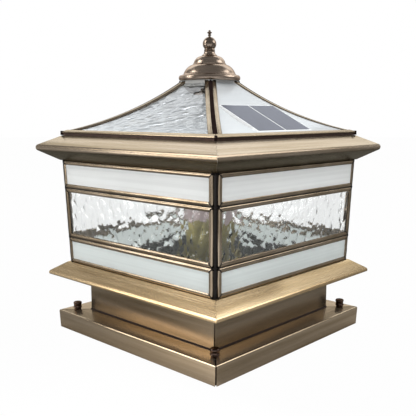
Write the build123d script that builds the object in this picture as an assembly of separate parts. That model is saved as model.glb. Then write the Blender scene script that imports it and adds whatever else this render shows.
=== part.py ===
from build123d import *
from math import atan2, cos, degrees, hypot, radians, sin, sqrt, tan
import os

# Solar pillar light: a square brass lantern with a concave glass roof.
# Millimetres, +Z up, origin at the centre of the base where it stands on the pillar.
# The front wall faces -Y and the solar cells lie on the roof's +X slope.

# Sheet metal and clearances
sheet = 1.2
tray_sheet = 1.5
seam = 0.5
lift_gap = 0.2
slip = 0.2

# Base tray and the plate that is anchored to the pillar
tray_width = 270.0
tray_height = 22.0
tray_draft = 1.0
tray_round = 0.7
tray_lip = 10.0
plate_gap = 8.5
plate_thickness = 3.0
anchor_spacing = 160.0
anchor_hole = 9.0
stud_inset = 17.0
stud_diameter = 5.0
stud_hole = 6.2
stud_thread = 7.6

# Neck box and skirt moulding
neck_width = 212.0
neck_height = 46.3
skirt_overhang = 18.0
skirt_height = 16.1
skirt_nose = 4.2
skirt_round = 3.5
nose_round = 1.6
ledge = 4.0

# Walls: three panes each, every pane in its own came frame, leaning out towards the top
body_width = 249.0
wall_flare = 4.6
lower_band = 31.6
middle_band = 61.4
upper_band = 33.6
came_width = 5.0
came_thickness = 3.6
came_round = 1.4
came_lap = 2.2
came_seam = 0.35
pane_thickness = 2.0
pane_slip = 0.1
corner_notch = 4.6
post_face = 3.0
post_leg = 4.5
floor_thickness = 1.5

# Cornice moulding and the bar across it
eave_overhang = 20.9
cornice_height = 30.0
soffit_rise = 12.9
cornice_nose = 5.4
cornice_round = 3.8
cornice_ledge = 14.0
bar_ledge = 14.0
bar_width = 16.0
bar_thickness = 3.0
rivet_diameter = 4.0
rivet_head = 7.0
rivet_height = 1.8

# Roof: one arc is the top of every hip strip
roof_width = 256.0
rim_height = 4.85
roof_rise = 59.9
roof_sag = 7.4
rim_depth = 6.5
rim_round = 1.6
tongue_drop = 5.0
tongue_sheet = 1.4
lid_clearance = 0.6
collar_width = 51.0
collar_thickness = 2.4
collar_wall = 2.0
collar_drop = 5.0
hip_groove = 3.3
hip_strip = 7.2
hip_lap = 3.2
strip_cover = 1.2
hip_recess = 0.8
roof_pane = 2.5

# Solar panel on the +X slope, its lead and plug
panel_gap = 5.4
panel_reach = 57.0
panel_width = 96.4
panel_thickness = 2.0
cell_border = 1.6
cell_gap = 1.2
cell_thickness = 0.3
panel_clearance = 0.3
box_length = 22.0
box_width = 30.0
box_depth = 10.0
lead_diameter = 3.6
plug_diameter = 8.4
plug_length = 16.0
plug_pin = 5.0

# Lamp column on the floor
column_diameter = 62.0
column_height = 71.0
column_wall = 1.5
foot_rim = 8.0
foot_thickness = 2.0
foot_rivets = 3
lid_thickness = 3.0
cell_diameter = 18.4
cell_length = 50.0
cell_circle = 11.2
cradle_height = 30.0
cradle_clearance = 0.5
board_gap = 2.5
board_thickness = 1.6
board_drop = 7.0
standoff_diameter = 5.0
standoff_inset = 5.0
switch_size = 6.0
led_board_gap = 0.9
diffuser_gap = 1.0
diffuser_wall = 1.6
diffuser_height = 40.0
socket_gap = 0.3
socket_flange = 10.4
socket_body = 8.0
button_gap = 0.8
button_diameter = 7.0
button_stroke = 1.5
button_proud = 3.4
button_flange = 9.4

# Cap, finial and the rod that clamps the roof
cap_width = 74.6
cap_height = 29.1
seat_height = 3.8
finial_ball = 16.4
rod_diameter = 6.0
rod_head = 11.0
rod_head_height = 4.0
rod_engaged = 10.3
bore_depth = 12.5

# Thumb nuts
nut_diameter = 10.4
nut_height = 8.6
washer_diameter = 8.6
washer_thickness = 1.2

# Levels and half widths that follow from the sizes above
tray_top = tray_height
skirt_base = tray_top + neck_height
wall_base = skirt_base + skirt_height
lower_top = wall_base + lower_band
middle_top = lower_top + middle_band
wall_top = middle_top + upper_band
cornice_top = wall_top + cornice_height
rim_base = cornice_top + lift_gap
rim_top = rim_base + rim_height
tray_half = tray_width / 2
plate_width = 2 * (tray_half - tray_sheet - plate_gap)
stud_spacing = 2 * (tray_half - stud_inset)
neck_half = neck_width / 2
body_half = body_width / 2
skirt_half = body_half + skirt_overhang
top_half = body_half + wall_flare
eave_half = top_half + eave_overhang
roof_half = roof_width / 2
column_bore = column_diameter - 2 * column_wall
foot_diameter = column_diameter + 2 * foot_rim
board_diameter = column_bore - 2 * board_gap
standoff_circle = board_diameter / 2 - standoff_inset
socket_circle = (column_bore - socket_body) / 2 - socket_gap
button_circle = (column_bore - button_flange) / 2 - button_gap
diffuser_diameter = 2 * (socket_circle - socket_flange / 2 - diffuser_gap)
led_board_diameter = diffuser_diameter - 2 * diffuser_wall - 2 * led_board_gap
collar_half = collar_width / 2
wall_lean = atan2(wall_flare, wall_top - wall_base)
wall_length = (wall_top - wall_base) / cos(wall_lean) - came_thickness * tan(wall_lean) - pane_slip
came_back = body_half - came_thickness / cos(wall_lean)
wall_half = body_half - corner_notch
lid_opening = roof_half - cornice_ledge
bar_level = wall_top + sheet
bar_half = came_back + wall_flare - 2
flange_inner = came_back + wall_flare - bar_ledge
floor_top = wall_base + floor_thickness
column_top = floor_top + column_height
lid_top = column_top + lid_thickness
collar_top = rim_top + roof_rise + 0.6
panel_low = roof_half - rim_depth - panel_gap
panel_high = panel_low - panel_reach
cap_base = collar_top
cap_top = cap_base + cap_height
finial_base = cap_top + lift_gap + seat_height + lift_gap

# Walls are built for +X and turned to their side
SIDES = {"right": 0, "back": 90, "left": 180, "front": 270}
CORNERS = {"front_right": (1, -1), "back_right": (1, 1), "back_left": (-1, 1), "front_left": (-1, -1)}


def face_of(points):
    """A flat face inside a closed outline of points."""
    return make_face(Polyline(*points, close=True))


def upright(points):
    """A face in the plane of distance from the axis and height."""
    return Plane.XZ * face_of(points)


def turned(points):
    """A solid turned about Z from points of radius and height."""
    return revolve(upright(points), Axis.Z)


def rod_at(x, y, low, high, diameter):
    """A round upright bar."""
    return Pos(x, y, (low + high) / 2) * Cylinder(diameter / 2, high - low)


def block(x, y, low, high, width, depth):
    """An upright box centred at x, y."""
    return Pos(x, y, (low + high) / 2) * Box(width, depth, high - low)


def to_side(piece, side):
    """Turns a piece built on the +X side to a named side."""
    return Rot(0, 0, SIDES[side]) * piece


def write(name, *pieces):
    """Writes one node, with each of its solids."""
    solids = [solid for piece in pieces for solid in piece.solids()]
    export_step(Compound(solids), f"parts/{name}.step")


def bent_sheet(points, radii, thickness, inside):
    """The section of a sheet bent along points, thickened to one side."""
    path = FilletPolyline(*points, radius=radii)
    return Plane.XZ * make_face(Wire(path.edges()).offset_2d(thickness, side=inside))


def mitred(section, reach, gap=seam):
    """A length on the +X side with that section, cut at 45 degrees at both ends."""
    low = section.bounding_box().min.Z - 1
    high = section.bounding_box().max.Z + 1
    back = gap / sqrt(2)
    plan = face_of([(back, 0), (reach + back, reach), (reach + back, -reach)])
    wedge = Pos(0, 0, low) * extrude(plan, amount=high - low)
    return extrude(section, amount=reach, both=True) & wedge


def four_lengths(length):
    """The same length on all four sides."""
    return [to_side(length, side) for side in SIDES]


def mounting_plate():
    """Plate on the pillar top with anchor holes and four studs."""
    plate = block(0, 0, 0, plate_thickness, plate_width, plate_width)
    stud_top = tray_top + stud_thread
    for x, y in CORNERS.values():
        plate -= rod_at(x * anchor_spacing / 2, y * anchor_spacing / 2, -1, plate_thickness + 1, anchor_hole)
        plate += rod_at(x * stud_spacing / 2, y * stud_spacing / 2, 0, stud_top, stud_diameter)
    return plate


def base_tray():
    """Four mitred angle lengths that make the inverted tray."""
    inner = neck_half - tray_sheet - tray_lip
    points = [(inner, tray_top), (tray_half, tray_top), (tray_half - tray_draft, 0)]
    length = mitred(bent_sheet(points, [tray_round + tray_sheet], tray_sheet, Side.RIGHT), tray_half)
    lengths = four_lengths(length)
    drills = [
        rod_at(x * stud_spacing / 2, y * stud_spacing / 2, tray_top - tray_sheet - 1, tray_top + 1, stud_hole)
        for x, y in CORNERS.values()
    ]
    return [piece - drills for piece in lengths]


def neck_box():
    """Four upright sheets between the tray and the skirt's flange."""
    inner = neck_half - tray_sheet
    high = wall_base - sheet
    section = upright([(inner, tray_top), (neck_half, tray_top), (neck_half, high), (inner, high)])
    return four_lengths(mitred(section, neck_half))


def skirt():
    """Four mitred lengths of the flared moulding under the walls."""
    points = [
        (neck_half - tray_sheet - ledge, wall_base),
        (body_half + 0.6, wall_base),
        (skirt_half, skirt_base + skirt_nose),
        (skirt_half, skirt_base),
        (neck_half, skirt_base),
    ]
    section = bent_sheet(points, [nose_round, skirt_round, nose_round], sheet, Side.RIGHT)
    return four_lengths(mitred(section, skirt_half))


def cornice():
    """Four mitred lengths of the eave moulding, the front and back ones drilled for the bar's rivets."""
    points = [
        (flange_inner, wall_top),
        (top_half, wall_top),
        (eave_half, wall_top + soffit_rise),
        (eave_half, wall_top + soffit_rise + cornice_nose),
        (roof_half - 1, cornice_top),
        (lid_opening, cornice_top),
    ]
    radii = [nose_round, cornice_round, cornice_round, nose_round]
    length = mitred(bent_sheet(points, radii, sheet, Side.LEFT), eave_half)
    drill = rod_at(rivet_place(), 0, wall_top - 1, bar_level + 1, rivet_diameter + 2 * slip)
    drilled = length - drill
    return [to_side(drilled if side in ("front", "back") else length, side) for side in SIDES]


def rivet_place():
    """Distance of the bar's rivets from the axis, on the cornice's lower flange."""
    return (flange_inner + bar_half) / 2


def came_profile():
    """Section of a came strip: its outer edge on Y = 0, its show face towards +Z, slotted for the pane."""
    outline = Rectangle(came_width, came_thickness)
    outer = outline.vertices().sort_by(Axis.Y)[-2:]
    bar = fillet(outer, came_round)
    slot = Pos(came_width / 2 - came_lap / 2, 0) * Rectangle(came_lap, pane_thickness + 2 * pane_slip)
    return Plane.YZ * (Pos(came_width / 2, came_thickness / 2) * (bar - slot))


def wall_edge(rise, margin=0.0):
    """Half width of a wall at a length up its slope, with a margin inside its leaning edge."""
    spread = wall_flare / (wall_top - wall_base) * cos(wall_lean)
    return wall_half + spread * rise - margin * sqrt(1 + spread * spread)


def band_outline(low, high, margin):
    """Corners of the band of a wall between two lengths up its slope, inside a margin."""
    low += margin
    high -= margin
    foot = wall_edge(low, margin)
    head = wall_edge(high, margin)
    return [(-foot, low), (foot, low), (head, high), (-head, high)]


def came_strip(start, end, inner_end, inner_start):
    """A came strip along one edge of a frame, mitred from its outer to its inner corners."""
    run = hypot(end[0] - start[0], end[1] - start[1])
    along = ((end[0] - start[0]) / run, (end[1] - start[1]) / run)
    back = came_seam / sqrt(2)
    plan = face_of([
        (point[0] + step * along[0], point[1] + step * along[1])
        for point, step in ((start, back), (end, -back), (inner_end, -back), (inner_start, back))
    ])
    turn = degrees(atan2(along[1], along[0]))
    bar = Pos(*start) * Rot(0, 0, turn) * extrude(came_profile(), amount=2 * run, both=True)
    return bar & extrude(plan, amount=came_thickness)


def came_frame(low, high):
    """Four came strips around the pane of one band."""
    outer = band_outline(low, high, 0)
    inner = band_outline(low, high, came_width)
    return [came_strip(outer[n - 1], outer[n], inner[n], inner[n - 1]) for n in range(4)]


def wall_plane():
    """Leaning plane of the came backs on the +X wall, with its origin at the wall's foot."""
    normal = (cos(wall_lean), 0, -sin(wall_lean))
    foot = (body_half - came_thickness * normal[0], 0, wall_base - came_thickness * normal[2])
    return Plane(origin=foot, x_dir=(0, 1, 0), z_dir=normal)


def wall_bands():
    """Name and two lengths up the slope of each band of panes."""
    scale = wall_length / (wall_top - wall_base)
    levels = [scale * (level - wall_base) for level in (wall_base, lower_top, middle_top, wall_top)]
    return list(zip(("lower", "middle", "upper"), levels, levels[1:]))


def wall_frame():
    """The three came frames of the +X wall."""
    return [wall_plane() * strip for _, low, high in wall_bands() for strip in came_frame(low, high)]


def wall_pane(low, high):
    """A pane that reaches into its came slots with a little slip."""
    outline = band_outline(low, high, came_width - came_lap + pane_slip)
    level = (came_thickness - pane_thickness) / 2
    return wall_plane() * Pos(0, 0, level) * extrude(face_of(outline), amount=pane_thickness)


def corner_post():
    """The dark angle that leans in the front right corner, with its narrow outer face in the notch."""
    inner = came_back - sheet
    end = came_back - post_leg
    edge = wall_half + pane_slip
    outer = wall_half + post_face
    plan = face_of([
        (end, -came_back), (edge, -came_back), (edge, -outer), (outer, -outer),
        (outer, -edge), (came_back, -edge), (came_back, -end), (inner, -end),
        (inner, -inner), (end, -inner),
    ])
    lean = Vector(wall_flare, -wall_flare, wall_top - wall_base)
    return Pos(0, 0, wall_base) * extrude(plan, amount=lean.length, dir=lean.normalized())


def floor_plate():
    """Dark plate that closes the lantern's floor, on the skirt's flange, drilled for the column's foot."""
    width = 2 * (came_back - sheet - 2 * slip)
    plate = block(0, 0, wall_base, floor_top, width, width)
    for x, y in foot_places():
        plate -= rod_at(x, y, wall_base - 1, floor_top + 1, rivet_diameter + 2 * slip)
    return plate


def crossbar():
    """Flat bar across the cornice with the rod's hole and two rivet holes."""
    bar = block(0, 0, bar_level, bar_level + bar_thickness, bar_width, 2 * bar_half)
    bar -= rod_at(0, 0, bar_level - 1, bar_level + bar_thickness + 1, rod_diameter + 2 * slip)
    for y in (-rivet_place(), rivet_place()):
        bar -= rod_at(0, y, bar_level - 1, bar_level + bar_thickness + 1, rivet_diameter + 2 * slip)
    return bar


def rivet(x, y, low, high):
    """A rivet through the sheets between two levels, with a head on each side."""
    body = rod_at(x, y, low - rivet_height, high + rivet_height, rivet_diameter)
    body += rod_at(x, y, high, high + rivet_height, rivet_head)
    body += rod_at(x, y, low - rivet_height, low, rivet_head)
    return body


def rivets():
    """The bar's two rivets and the column foot's."""
    bar_top = bar_level + bar_thickness
    foot_top = floor_top + foot_thickness
    pieces = [rivet(0, y, wall_top, bar_top) for y in (-rivet_place(), rivet_place())]
    pieces += [rivet(x, y, wall_base, foot_top) for x, y in foot_places()]
    return pieces


def roof_arc():
    """Centre and radius of the arc along the top of the hip strips, in distance and height."""
    low = (roof_half, rim_top)
    high = (collar_half, rim_top + roof_rise)
    chord = hypot(low[0] - high[0], low[1] - high[1])
    radius = chord * chord / (8 * roof_sag) + roof_sag / 2
    along = ((low[0] - high[0]) / chord, (low[1] - high[1]) / chord)
    reach = radius - roof_sag
    centre = ((low[0] + high[0]) / 2 - along[1] * reach, (low[1] + high[1]) / 2 + along[0] * reach)
    return centre, radius


ARC_CENTRE, ARC_RADIUS = roof_arc()


def roof_height(distance, depth=0.0):
    """Height of the roof at a distance from the axis, at a depth below the strips' top."""
    radius = ARC_RADIUS + depth
    return ARC_CENTRE[1] - sqrt(radius * radius - (ARC_CENTRE[0] - distance) ** 2)


def roof_band(near, far, top_depth, low_depth):
    """A face along the roof between two distances and two depths below the strips' top."""
    def edge(depth):
        middle = (near + far) / 2
        return [(d, roof_height(d, depth)) for d in (near, middle, far)]

    upper = edge(top_depth)
    lower = edge(low_depth)
    outline = [
        ThreePointArc(*upper),
        Line(upper[2], lower[2]),
        ThreePointArc(*lower),
        Line(lower[0], upper[0]),
    ]
    return Plane.XZ * make_face(outline)


def roof_slab(near, far, top_depth, low_depth):
    """A curved slab over the whole +X slope."""
    return extrude(roof_band(near, far, top_depth, low_depth), amount=roof_half, both=True)


def plan_prism(points):
    """A tall prism over a plan outline, as high as the roof."""
    return Pos(0, 0, cornice_top) * extrude(face_of(points), amount=roof_rise + cornice_height)


def hip_side(inner, outer, near, far):
    """Plan strip beside the +Y hip of the +X slope, between two offsets from the hip line."""
    return plan_prism([
        (near, near - inner),
        (far, far - inner),
        (far, far - outer),
        (near, near - outer),
    ])


def mirrored(piece):
    """The piece and its copy across the slope's middle."""
    return [piece, mirror(piece, Plane.XZ)]


STRIP_NEAR = collar_half + pane_slip
STRIP_FAR = roof_half - rim_depth
PANE_TOP = strip_cover
PANE_LOW = strip_cover + roof_pane
STRIP_LOW = PANE_LOW + strip_cover


def hip_strips():
    """The two came strips along the hips of the +X slope, slotted for the pane."""
    slab = roof_slab(STRIP_NEAR, STRIP_FAR, 0, STRIP_LOW)
    slot = roof_slab(0, roof_half, PANE_TOP - pane_slip, PANE_LOW + pane_slip)
    edge = hip_groove + hip_strip
    strip = slab & hip_side(hip_groove, edge, 0, roof_half)
    strip -= slot & hip_side(edge - hip_lap, edge + hip_lap, 0, roof_half)
    return mirrored(strip)


def hip_bar():
    """The dark bar sunk between the strips along the hip at +X, +Y."""
    slab = roof_slab(STRIP_NEAR, STRIP_FAR, hip_recess, STRIP_LOW)
    half = slab & hip_side(0, hip_groove, 0, roof_half)
    other = mirror(half, Plane(origin=(0, 0, 0), z_dir=(1, -1, 0)))
    return half + other


def roof_sheet():
    """A curved pane of the +X slope, inside the slots of its strips, rim and collar."""
    near = STRIP_NEAR + pane_slip
    far = STRIP_FAR + came_lap - 2 * pane_slip
    slab = roof_slab(near, far, PANE_TOP, PANE_LOW)
    edge = hip_groove + hip_strip - hip_lap + pane_slip * sqrt(2)
    plan = plan_prism([(near, near - edge), (far, far - edge), (far, edge - far), (near, edge - near)])
    return slab & plan


def roof_rim():
    """Four mitred lengths of the roof's lower rim, with a tongue that drops inside the cornice."""
    inner = roof_half - rim_depth
    tongue = lid_opening - lid_clearance
    outline = [
        Line((tongue - tongue_sheet, cornice_top - tongue_drop), (tongue, cornice_top - tongue_drop)),
        Line((tongue, cornice_top - tongue_drop), (tongue, rim_base)),
        Line((tongue, rim_base), (roof_half, rim_base)),
        Line((roof_half, rim_base), (roof_half, rim_top)),
        ThreePointArc(
            (roof_half, rim_top),
            (roof_half - rim_depth / 2, roof_height(roof_half - rim_depth / 2)),
            (inner, roof_height(inner)),
        ),
        Line((inner, roof_height(inner)), (inner, rim_base + tongue_sheet)),
        Line((inner, rim_base + tongue_sheet), (tongue - tongue_sheet, rim_base + tongue_sheet)),
        Line(
            (tongue - tongue_sheet, rim_base + tongue_sheet),
            (tongue - tongue_sheet, cornice_top - tongue_drop),
        ),
    ]
    section = make_face(outline)
    corner = section.vertices().sort_by_distance((roof_half, rim_top))[0]
    section = Plane.XZ * fillet(corner, rim_round)
    slot = roof_slab(0, inner + came_lap, PANE_TOP - pane_slip, PANE_LOW + pane_slip)
    return four_lengths(mitred(section, roof_half) - slot)


def roof_collar():
    """Square block under the cap that the strips and panes lean on, with the rod's hole."""
    base = collar_top - collar_thickness
    plate = block(0, 0, base, collar_top, collar_width, collar_width)
    ring = block(0, 0, base - collar_drop, base, collar_width, collar_width)
    hollow = collar_width - 2 * collar_wall
    ring -= block(0, 0, base - collar_drop - 1, base, hollow, hollow)
    hole = rod_at(0, 0, base - 1, collar_top + 1, rod_diameter + 4 * slip)
    return plate + ring - hole


def panel_plane():
    """Plane under the solar panel, whose face is the chord of the pane's top between the panel's two ends."""
    low = (panel_low, roof_height(panel_low, PANE_TOP))
    high = (panel_high, roof_height(panel_high, PANE_TOP))
    slope = atan2(high[1] - low[1], low[0] - high[0])
    normal = (sin(slope), 0, cos(slope))
    middle = ((low[0] + high[0]) / 2, 0, (low[1] + high[1]) / 2)
    origin = tuple(m - panel_thickness * n for m, n in zip(middle, normal))
    return Plane(origin=origin, x_dir=(0, 1, 0), z_dir=normal)


def panel_length():
    """Length of the panel along the slope."""
    rise = roof_height(panel_high, PANE_TOP) - roof_height(panel_low, PANE_TOP)
    return hypot(panel_low - panel_high, rise)


def solar_panel():
    """Laminated panel with the potted box on its back."""
    slab = Pos(0, 0, panel_thickness / 2) * Box(panel_width, panel_length(), panel_thickness)
    box = Pos(0, 0, -box_depth / 2) * Box(box_width, box_length, box_depth)
    return panel_plane() * (slab + box)


def solar_cells():
    """The two cells on the panel's face."""
    width = (panel_width - 2 * cell_border - cell_gap) / 2
    cell = Box(width, panel_length() - 2 * cell_border, cell_thickness)
    shift = (width + cell_gap) / 2
    level = panel_thickness + cell_thickness / 2
    return [panel_plane() * Pos(x, 0, level) * cell for x in (-shift, shift)]


def opal_roof_sheet():
    """The +X pane with the window that the panel is set in."""
    spare = 2 * panel_clearance
    window = Box(panel_width + spare, panel_length() + spare, 4 * box_depth)
    return roof_sheet() - panel_plane() * window


def lead_route():
    """Points of the solar lead from the plug's back up to the box behind the panel."""
    plug_top = lid_top + 1.5 + lift_gap + plug_length
    plane = panel_plane()
    box_face = plane.origin - plane.z_dir * box_depth
    out = box_face - plane.z_dir * 12
    return [
        Vector(socket_circle, 0, plug_top),
        Vector(socket_circle, 0, plug_top + 27),
        Vector(socket_circle + 27, 0, plug_top + 36),
        out,
        box_face,
    ]


def corner_radius(before, corner, after):
    """The largest arc that the two runs at a corner leave room for."""
    run = min((corner - before).length, (after - corner).length)
    turn = radians((corner - before).get_angle(after - corner))
    return 0.45 * run / tan(turn / 2)


def solar_lead():
    """The lead and the plug moulded on its end, in one piece."""
    route = lead_route()
    radii = [corner_radius(*route[i:i + 3]) for i in range(len(route) - 2)]
    path = FilletPolyline(*route, radius=radii)
    start = Plane(origin=path @ 0, z_dir=path % 0)
    lead = sweep(start * Circle(lead_diameter / 2), path=path)
    base = route[0].Z - plug_length
    x = socket_circle
    shell = rod_at(x, 0, base, base + plug_length * 0.7, plug_diameter)
    tail = Pos(x, 0, base + plug_length * 0.85) * Cone(plug_diameter / 2, lead_diameter / 2, plug_length * 0.3)
    pin = rod_at(x, 0, lid_top - 6.0, base, plug_pin)
    return lead + shell + tail + pin


def lamp_column():
    """Brass tube with a foot, which holds the battery."""
    tube = rod_at(0, 0, floor_top, column_top, column_diameter)
    foot = rod_at(0, 0, floor_top, floor_top + foot_thickness, foot_diameter)
    bore = rod_at(0, 0, floor_top - 1, column_top + 1, column_bore)
    column = tube + foot - bore
    for x, y in foot_places():
        column -= rod_at(x, y, floor_top - 1, floor_top + foot_thickness + 1, rivet_diameter + 2 * slip)
    return column


def foot_places():
    """Centres of the foot's rivets."""
    circle = (column_diameter + foot_diameter) / 4
    turns = [radians(60 + 360 * n / foot_rivets) for n in range(foot_rivets)]
    return [(circle * cos(turn), circle * sin(turn)) for turn in turns]


def column_lid():
    """Lid of the column with holes for the socket and the button."""
    lid = rod_at(0, 0, column_top, lid_top, column_diameter)
    lid -= rod_at(socket_circle, 0, column_top - 1, lid_top + 1, socket_body + 2 * slip)
    lid -= rod_at(-button_circle, 0, column_top - 1, lid_top + 1, button_diameter + 2 * slip)
    return lid


def cell_places():
    """Centres of the three battery cells."""
    turns = [radians(90 + 120 * n) for n in range(3)]
    return [(cell_circle * cos(turn), cell_circle * sin(turn)) for turn in turns]


def battery_cells():
    """Three round cells, each with its contact nub."""
    cells = []
    for x, y in cell_places():
        can = rod_at(x, y, floor_top, floor_top + cell_length, cell_diameter)
        nub = rod_at(x, y, floor_top + cell_length, floor_top + cell_length + 1.5, cell_diameter * 0.3)
        cells.append(can + nub)
    return cells


def battery_cradle():
    """Moulded ring that keeps the cells apart inside the column."""
    outer = column_bore - 2 * cradle_clearance
    cradle = rod_at(0, 0, floor_top, floor_top + cradle_height, outer)
    for x, y in cell_places():
        cradle -= rod_at(x, y, floor_top - 1, floor_top + cradle_height + 1, cell_diameter + 2 * slip)
    return cradle


def charge_board():
    """Round board hung under the lid on three standoffs, with the switch below the button."""
    top = column_top - board_drop
    board = rod_at(0, 0, top - board_thickness, top, board_diameter)
    for n in range(3):
        turn = radians(30 + 120 * n)
        x = standoff_circle * cos(turn)
        y = standoff_circle * sin(turn)
        board += rod_at(x, y, top, column_top, standoff_diameter)
    switch_top = column_top - 2 - button_stroke - lift_gap
    board += block(1 - button_circle, 0, top, switch_top, switch_size, switch_size)
    board += block(0, 9, top, top + 2, 9, 7)
    return board


def led_board():
    """Round light board on the lid with its ring of light chips."""
    board = rod_at(0, 0, lid_top, lid_top + board_thickness, led_board_diameter)
    for n in range(8):
        turn = radians(45 * n)
        circle = led_board_diameter * 0.33
        x = circle * cos(turn)
        y = circle * sin(turn)
        board += block(x, y, lid_top + board_thickness, lid_top + board_thickness + 0.8, 3, 3)
    return board


def lamp_diffuser():
    """Frosted dome over the light board."""
    outer = diffuser_diameter / 2
    straight = diffuser_height - outer
    shell = rod_at(0, 0, lid_top, lid_top + straight, diffuser_diameter)
    shell += Pos(0, 0, lid_top + straight) * Sphere(outer)
    inner = outer - diffuser_wall
    hollow = rod_at(0, 0, lid_top - 1, lid_top + straight, 2 * inner)
    hollow += Pos(0, 0, lid_top + straight) * Sphere(inner)
    below = rod_at(0, 0, lid_top - outer - 1, lid_top, diffuser_diameter + 2)
    return shell - hollow - below


def lead_socket():
    """Socket in the lid that takes the solar lead's plug."""
    x = socket_circle
    flange = rod_at(x, 0, lid_top, lid_top + 1.5, socket_flange)
    body = rod_at(x, 0, column_top - 3, lid_top, socket_body)
    return flange + body - rod_at(x, 0, lid_top - 6.5, lid_top + 2, plug_pin + 4 * slip)


def power_button():
    """Push button in the lid, kept by a flange below it."""
    x = -button_circle
    stem = rod_at(x, 0, column_top - 2, lid_top + button_proud, button_diameter)
    stem = fillet(stem.edges().sort_by(Axis.Z)[-1], 0.8)
    return stem + rod_at(x, 0, column_top - 2, column_top - lift_gap, button_flange)


def roof_cap():
    """Spun cap: rolled rim, lower bell, bead and upper bell, hollow inside."""
    rim = cap_width / 2
    bore = rod_diameter / 2 + 2 * slip
    z = cap_base
    outline = [
        Line((bore, z), (rim - 1.4, z)),
        ThreePointArc((rim - 1.4, z), (rim, z + 2.9), (rim - 1.4, z + 5.8)),
        ThreePointArc((rim - 1.4, z + 5.8), (rim - 3.6, z + 6.4), (rim - 5.6, z + 7.6)),
        ThreePointArc((rim - 5.6, z + 7.6), (rim - 10.6, z + 14.6), (rim - 17.6, z + 19.0)),
        ThreePointArc((rim - 17.6, z + 19.0), (rim - 17.1, z + 19.9), (rim - 18.2, z + 20.6)),
        ThreePointArc((rim - 18.2, z + 20.6), (rim - 22.0, z + 26.2), (rim - 28.0, cap_top)),
        Line((rim - 28.0, cap_top), (bore, cap_top)),
        Line((bore, cap_top), (bore, z)),
    ]
    bell = revolve(Plane.XZ * make_face(outline), Axis.Z)
    hollow = turned([
        (0, z - 1),
        (rim - 3.0, z - 1),
        (rim - 3.0, z + 2.4),
        (rim - 8.6, z + 6.4),
        (rim - 13.2, z + 14.2),
        (rim - 20.0, z + 18.6),
        (rim - 23.4, z + 24.6),
        (rim - 29.0, z + 27.2),
        (0, z + 27.2),
    ])
    return bell - hollow


def finial_seat():
    """Small flared seat under the finial."""
    low = cap_top + lift_gap
    high = low + seat_height
    bore = rod_diameter / 2 + 2 * slip
    outline = [
        Line((bore, low), (9.3, low)),
        Line((9.3, low), (9.3, low + 0.8)),
        ThreePointArc((9.3, low + 0.8), (7.5, low + 1.9), (6.7, high)),
        Line((6.7, high), (bore, high)),
        Line((bore, high), (bore, low)),
    ]
    return revolve(Plane.XZ * make_face(outline), Axis.Z)


def finial():
    """Turned finial: two rings, a ball, a bead and a small cupped tip, bored for the rod."""
    z = finial_base
    ball = finial_ball / 2
    middle = z + 10.1
    ball_low = middle - sqrt(ball * ball - 6.1 * 6.1)
    ball_high = middle + sqrt(ball * ball - 1.4 * 1.4)
    outline = [
        Line((0, z), (6.4, z)),
        ThreePointArc((6.4, z), (6.7, z + 0.9), (6.0, z + 1.8)),
        ThreePointArc((6.0, z + 1.8), (6.7, z + 2.8), (6.0, z + 3.8)),
        Line((6.0, z + 3.8), (6.1, ball_low)),
        ThreePointArc((6.1, ball_low), (ball, middle), (1.4, ball_high)),
        Line((1.4, ball_high), (1.2, z + 19.2)),
        ThreePointArc((1.2, z + 19.2), (2.1, z + 20.4), (1.2, z + 21.6)),
        Line((1.2, z + 21.6), (2.7, z + 22.8)),
        ThreePointArc((2.7, z + 22.8), (3.0, z + 23.4), (2.4, z + 23.9)),
        Line((2.4, z + 23.9), (1.2, z + 24.2)),
        ThreePointArc((1.2, z + 24.2), (1.45, z + 25.1), (0.7, z + 26.0)),
        Line((0.7, z + 26.0), (0, z + 26.2)),
        Line((0, z + 26.2), (0, z)),
    ]
    body = revolve(Plane.XZ * make_face(outline), Axis.Z)
    return body - rod_at(0, 0, z - 1, z + bore_depth, rod_diameter + 2 * slip)


def centre_rod():
    """Long bolt from under the bar up into the finial."""
    shank = rod_at(0, 0, bar_level, finial_base + rod_engaged, rod_diameter)
    hexagon = RegularPolygon(radius=rod_head / 2, side_count=6)
    head = Pos(0, 0, bar_level - rod_head_height) * extrude(hexagon, amount=rod_head_height)
    return shank + head


def nut_washer(x, y):
    """Washer that stays on the foot of a thumb nut."""
    low = tray_top + lift_gap / 2
    ring = rod_at(0, 0, low, low + washer_thickness, washer_diameter)
    ring -= rod_at(0, 0, low - 1, low + washer_thickness + 1, stud_diameter + 2 * slip)
    return Pos(x, y, 0) * ring


def thumb_nut(x, y):
    """Spool-shaped thumb nut with a driver slot in its head."""
    z = tray_top + lift_gap + washer_thickness
    r = nut_diameter / 2
    h = nut_height
    outline = [
        Line((0, z), (r * 0.8, z)),
        Line((r * 0.8, z), (r * 0.8, z + h * 0.08)),
        Line((r * 0.8, z + h * 0.08), (r * 0.94, z + h * 0.1)),
        ThreePointArc((r * 0.94, z + h * 0.1), (r, z + h * 0.18), (r * 0.94, z + h * 0.27)),
        Line((r * 0.94, z + h * 0.27), (r * 0.91, z + h * 0.3)),
        Line((r * 0.91, z + h * 0.3), (r * 0.91, z + h * 0.66)),
        Line((r * 0.91, z + h * 0.66), (r * 0.95, z + h * 0.69)),
        ThreePointArc((r * 0.95, z + h * 0.69), (r, z + h * 0.8), (r * 0.95, z + h * 0.93)),
        Line((r * 0.95, z + h * 0.93), (r * 0.84, z + h)),
        Line((r * 0.84, z + h), (0, z + h)),
        Line((0, z + h), (0, z)),
    ]
    body = revolve(Plane.XZ * make_face(outline), Axis.Z)
    body -= rod_at(0, 0, z - 1, tray_top + stud_thread + 0.6, stud_diameter + 2 * slip)
    body -= block(0, 0, z + h * 0.93, z + h + 1, nut_diameter, 1.2)
    return Pos(x, y, 0) * body


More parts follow.
